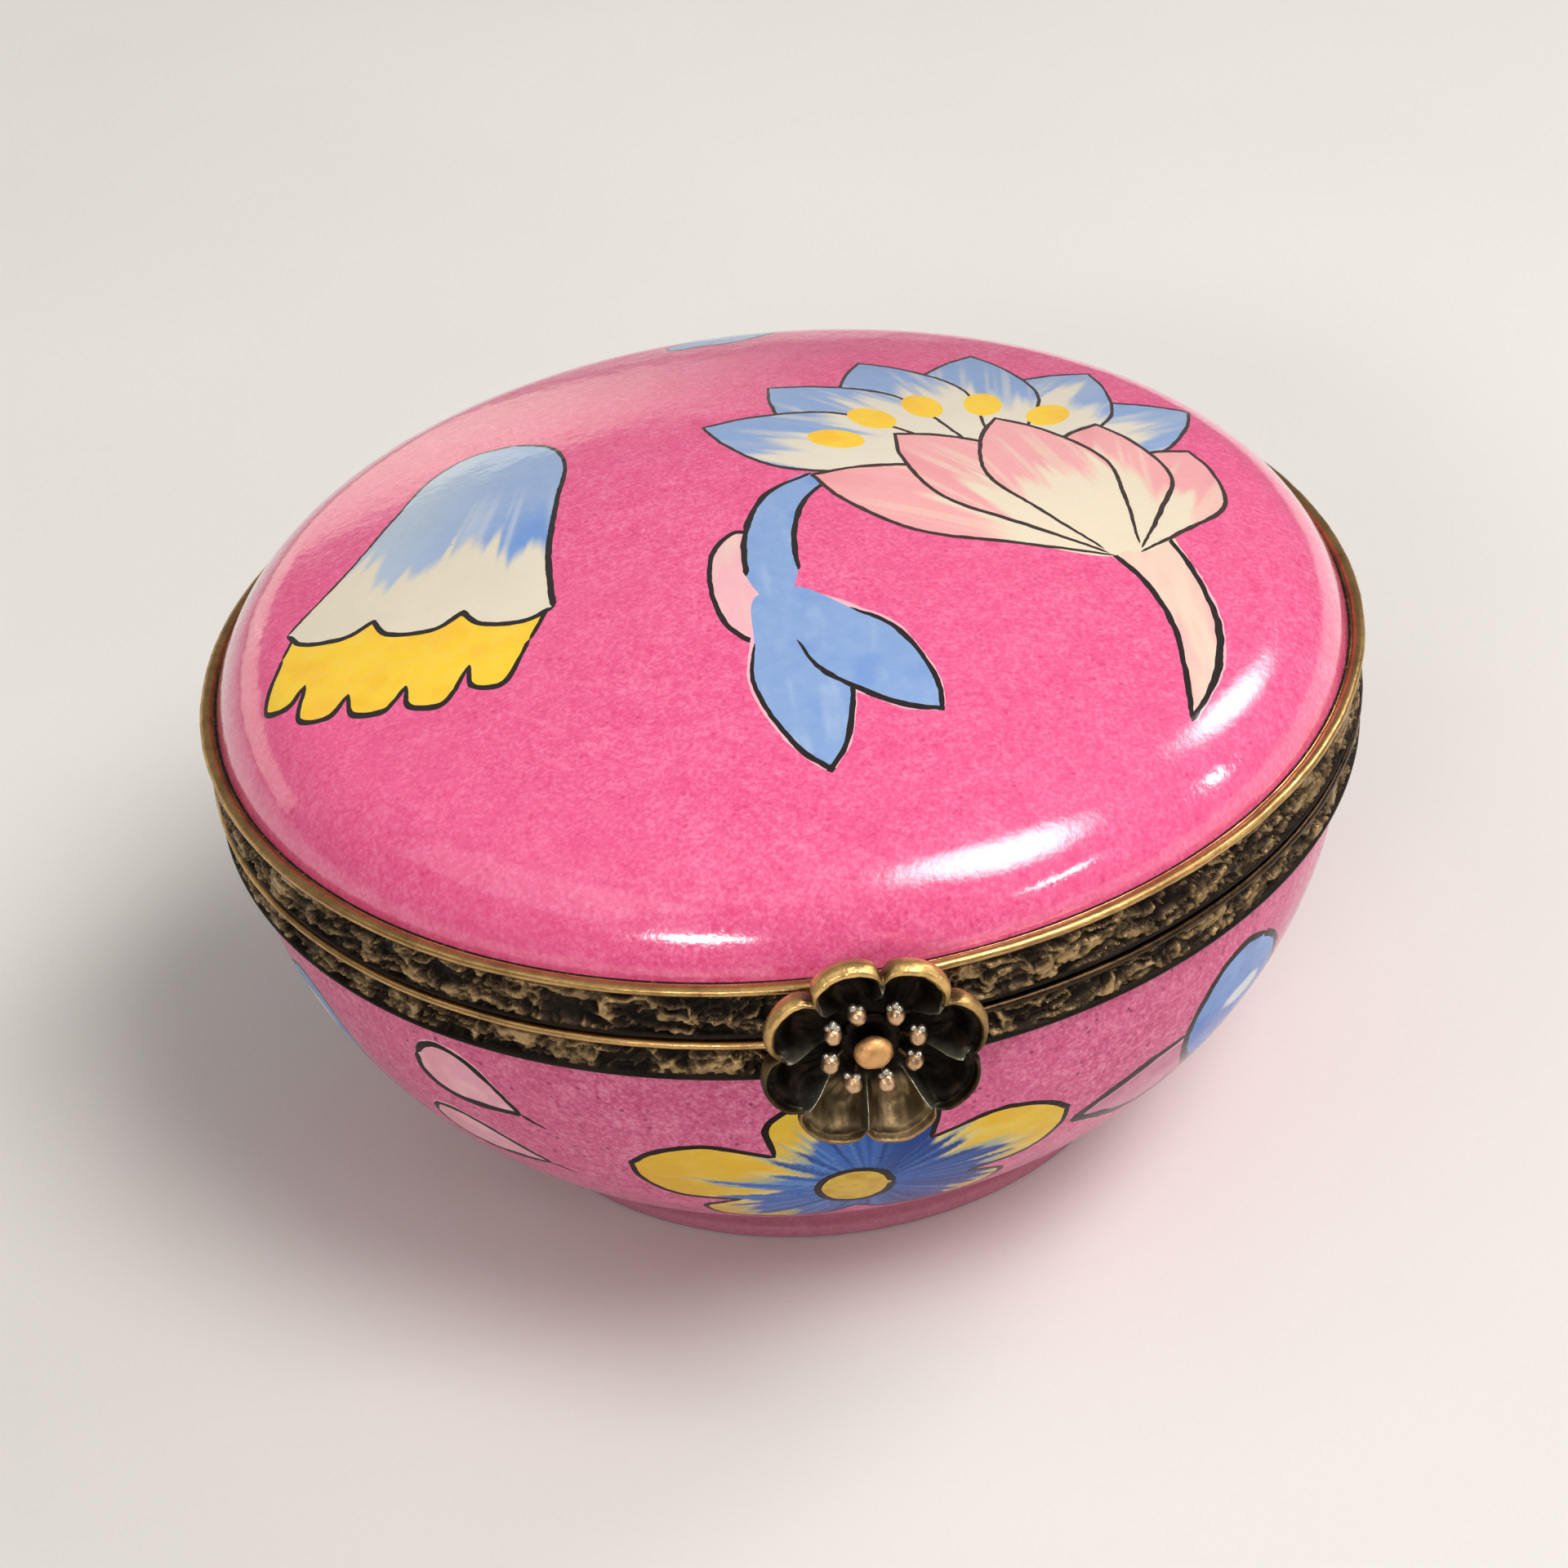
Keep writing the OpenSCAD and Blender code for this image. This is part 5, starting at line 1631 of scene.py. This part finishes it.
# thin washer that carries the stalks
wn = 64
wa = np.arange(wn) / wn * TAU
ringP = np.vstack([np.stack([r * np.sin(wa), np.full(wn, y), FLZ + r * np.cos(wa)], -1)
                   for r, y in ((0.40, floor_y), (0.40, floor_y - 0.16), (1.34, floor_y - 0.18), (1.42, floor_y - 0.10), (1.42, floor_y))])
jw = np.arange(wn)
jw1 = (jw + 1) % wn
ringQ = np.vstack([np.stack([i * wn + jw1, i * wn + jw, ((i + 1) % 5) * wn + jw, ((i + 1) % 5) * wn + jw1], -1) for i in range(5)])
parts.append((ringP, ringQ, np.zeros((0, 3), int), np.tile(np.append(srgb(26, 19, 15), 0.2), (len(ringP), 1))))
for k in range(8):
    a = math.radians(22.5 + 45 * k) + FL_TURN + rng.uniform(-0.05, 0.05)
    rr = 1.91 + rng.uniform(-0.07, 0.07)
    c = np.array([rr * math.sin(a), -30.02 + rng.uniform(-0.05, 0.05), FLZ + rr * math.cos(a)])
    root = np.array([1.15 * math.sin(a), floor_y - 0.05, FLZ + 1.15 * math.cos(a)])
    parts.append(rod(root, c, 0.12, 0.16, 700 + k))
    parts.append(lump(c, 0.435 * rng.uniform(0.94, 1.05), 710 + k, squash=(0.92, 1.0, 1.08), dent=0.10, seg=36, tone=(214, 176, 138), dark=(128, 92, 66), pol=0.4))
    # two or three tiny grains sit on top of each bead; their pale silver is a painted highlight of the light from above
    for g in range(3 if k % 3 == 0 else 2):
        dx = (-0.17, 0.16, 0.0)[g] + rng.uniform(-0.04, 0.04)
        dz = (0.42, 0.39, 0.62)[g] + rng.uniform(-0.04, 0.05)
        parts.append(lump((c[0] + dx, c[1] - 0.02 - 0.05 * g, c[2] + dz), 0.165 + rng.uniform(-0.02, 0.03), 740 + 3 * k + g, dent=0.14, seg=20, tone=(196, 192, 178), dark=(96, 88, 78), pol=0.8))
crown = join(parts, "flower_bead_crown", [BEAD_BRASS])
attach(crown, "clasp")
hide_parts("clasp_bead_crown")

eye_parts = [lump((0, -30.25, FLZ), 0.83, 800, squash=(1, 0.62, 0.94), dent=0.035, seg=80, freq=2.2, tone=(224, 172, 114), dark=(172, 122, 76), pol=0.25),
             rod((0, -28.12, FLOWER_Z), (0, -28.9, FLOWER_Z), 0.34, 0.34, 810, n=32, tone=(150, 116, 74)),
             rod((0, -28.8, FLOWER_Z), (0, -30.1, FLZ), 0.36, 0.42, 812, n=32, tone=(60, 44, 32)),
             rod((0, -28.11, FLOWER_Z), (0, -28.225, FLOWER_Z), 0.52, 0.6, 811, n=32, k=3, tone=(150, 116, 74))]
eye = join(eye_parts, "flower_eye_rivet", [toned_brass("flower_eye_brass", rough=(0.34, 0.5))])
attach(eye, "clasp")
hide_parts("clasp_rivet")

# ----------------------------------------------------------------------------
# CAD pieces that keep their shape and take a better finish
# ----------------------------------------------------------------------------
def dress(node, mat):
    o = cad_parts[node]
    o.data.materials.clear() if not o.material_slots else None
    if o.material_slots:
        for s in o.material_slots:
            s.material = mat
    else:
        o.data.materials.append(mat)


for node in ("base_hinge_leaf", "lid_hinge_leaf", "clasp_bracket"):
    dress(node, PLAIN_BRASS)
for node in ("hinge_pin", "catch_nub", "clasp_tongue"):
    dress(node, LIP)
for node in ("base_bedding", "lid_bedding"):
    dress(node, CEMENT)

# ----------------------------------------------------------------------------
# floor, light, camera
# ----------------------------------------------------------------------------
def floor():
    g = Nodes("pale_floor")
    base_c = g.ramp(g.noise(14, 3, 0.5), [(0.3, srgb(214, 212, 209)), (0.7, srgb(220, 218, 215))])
    g.link(base_c, g.b.inputs["Base Color"])
    g.b.inputs["Roughness"].default_value = 0.9
    me = bpy.data.meshes.new("floor")
    s = 1.6
    me.from_pydata([(-s, -s, 0), (s, -s, 0), (s, s, 0), (-s, s, 0)], [], [(0, 1, 2, 3)])
    me.materials.append(g.m)
    o = bpy.data.objects.new("floor", me)
    bpy.context.scene.collection.objects.link(o)
    return o


floor()


def light(name, az, el, dist, w, h, power, colour=(1, 1, 1), target=(0, 0, 0.024), turn=0.0, soft=0.0, fade=0.0):
    """az is measured from the clasp's side towards +X, in degrees; soft fades the panel's edges, fade its one end."""
    d = Vector((math.sin(math.radians(az)) * math.cos(math.radians(el)), -math.cos(math.radians(az)) * math.cos(math.radians(el)), math.sin(math.radians(el))))
    la = bpy.data.lights.new(name, "AREA")
    la.shape = "RECTANGLE"
    la.size, la.size_y = w, h
    la.energy = power
    la.color = colour
    o = bpy.data.objects.new(name, la)
    o.location = Vector(target) + d * dist
    o.rotation_euler = ((-d).to_track_quat("-Z", "Y").to_matrix() @ Matrix.Rotation(math.radians(turn), 3, "Z")).to_euler()
    bpy.context.scene.collection.objects.link(o)
    if soft:
        la.use_nodes = True
        t = la.node_tree
        em = next(x for x in t.nodes if x.type == "EMISSION")
        geo = t.nodes.new("ShaderNodeNewGeometry")
        sub = t.nodes.new("ShaderNodeVectorMath")
        sub.operation = "SUBTRACT"
        sub.inputs[1].default_value = (0.5, 0.5, 0.0)
        t.links.new(geo.outputs["Parametric"], sub.inputs[0])
        length = t.nodes.new("ShaderNodeVectorMath")
        length.operation = "LENGTH"
        t.links.new(sub.outputs[0], length.inputs[0])
        mr = t.nodes.new("ShaderNodeMapRange")
        mr.interpolation_type = "SMOOTHSTEP"
        for i, v in enumerate((0.5 - 0.5 * soft, 0.5, 1.0, 0.0)):
            mr.inputs[i + 1].default_value = v
        t.links.new(length.outputs["Value"], mr.inputs[0])
        t.links.new(mr.outputs[0], em.inputs["Strength"])
    if fade:
        la.use_nodes = True
        t = la.node_tree
        em = next(x for x in t.nodes if x.type == "EMISSION")
        geo = t.nodes.new("ShaderNodeNewGeometry")
        sx = t.nodes.new("ShaderNodeSeparateXYZ")
        t.links.new(geo.outputs["Parametric"], sx.inputs[0])
        mr = t.nodes.new("ShaderNodeMapRange")
        mr.interpolation_type = "SMOOTHSTEP"
        for i, v in enumerate((0.0, fade, 0.0, 1.0)):
            mr.inputs[i + 1].default_value = v
        t.links.new(sx.outputs[0], mr.inputs[0])
        t.links.new(mr.outputs[0], em.inputs["Strength"])
    return o


light("window_right", 50, 57, 0.75, 0.46, 0.58, 10.6, (1.0, 0.975, 0.94), soft=0.62)
light("lamp_front", -25, 26, 0.8, 0.33, 0.14, 3.9, (1.0, 0.96, 0.91), soft=0.7)
light("lamp_right_low", 44, 20, 0.8, 0.30, 0.075, 1.6, (1.0, 0.96, 0.91), soft=0.8)
light("lamp_side", 113, 38, 0.7, 0.34, 0.36, 4.8, (1.0, 0.96, 0.92), soft=0.85)
light("lamp_side_low", 82, 18, 0.8, 0.08, 0.24, 1.2, (1.0, 0.96, 0.91), soft=0.8)
light("strip_behind", -170, 7.6, 0.9, 0.62, 0.215, 0.36, (1.0, 0.98, 0.76), fade=0.5)
light("strip_left", -132, 7.6, 0.9, 0.62, 0.215, 0.36, (1.0, 0.98, 0.76))
light("fill_left", -70, 48, 1.0, 0.8, 0.5, 0.8, (1.0, 0.985, 0.97))
light("top_soft", -20, 82, 1.2, 1.3, 1.3, 0.9, (1.0, 0.985, 0.97))

world = bpy.data.worlds.new("studio")
bpy.context.scene.world = world
world.use_nodes = True
wt = world.node_tree
bg = wt.nodes["Background"]
tc = wt.nodes.new("ShaderNodeTexCoord")
sep = wt.nodes.new("ShaderNodeSeparateXYZ")
wt.links.new(tc.outputs["Generated"], sep.inputs[0])
wr = wt.nodes.new("ShaderNodeValToRGB")
wr.color_ramp.elements[0].position = 0.0
wr.color_ramp.elements[0].color = (0.30, 0.29, 0.285, 1)
wr.color_ramp.elements[1].position = 0.9
wr.color_ramp.elements[1].color = (0.50, 0.495, 0.49, 1)
wt.links.new(sep.outputs[2], wr.inputs[0])
wt.links.new(wr.outputs[0], bg.inputs[0])
bg.inputs[1].default_value = 0.58

cam_data = bpy.data.cameras.new("camera")
cam = bpy.data.objects.new("camera", cam_data)
bpy.context.scene.collection.objects.link(cam)
cam_data.sensor_width = 36.0
cam_data.lens = 4126.95 / 1920 * 36.0
cam_data.clip_start = 0.01
cam_data.clip_end = 20.0
AZ, EL, ROLL, DIST = math.radians(-3.9), math.radians(34.83), math.radians(6.009), 168.0
rz = np.array([[math.cos(AZ), -math.sin(AZ), 0], [math.sin(AZ), math.cos(AZ), 0], [0, 0, 1]])
back = rz @ np.array([0, -math.cos(EL), math.sin(EL)])
right = rz @ np.array([1.0, 0, 0])
up = rz @ np.array([0, math.sin(EL), math.cos(EL)])
pos = rz @ np.array([-0.465, 0, 24.4 - 9.188]) + back * DIST
rc = math.cos(ROLL) * right - math.sin(ROLL) * up
uc = math.sin(ROLL) * right + math.cos(ROLL) * up
M = Matrix(((rc[0], uc[0], back[0], pos[0] * MM), (rc[1], uc[1], back[1], pos[1] * MM), (rc[2], uc[2], back[2], pos[2] * MM), (0, 0, 0, 1)))
cam.matrix_world = M
bpy.context.scene.camera = cam
bpy.context.scene.view_settings.view_transform = "Standard"
bpy.context.scene.view_settings.look = "None"
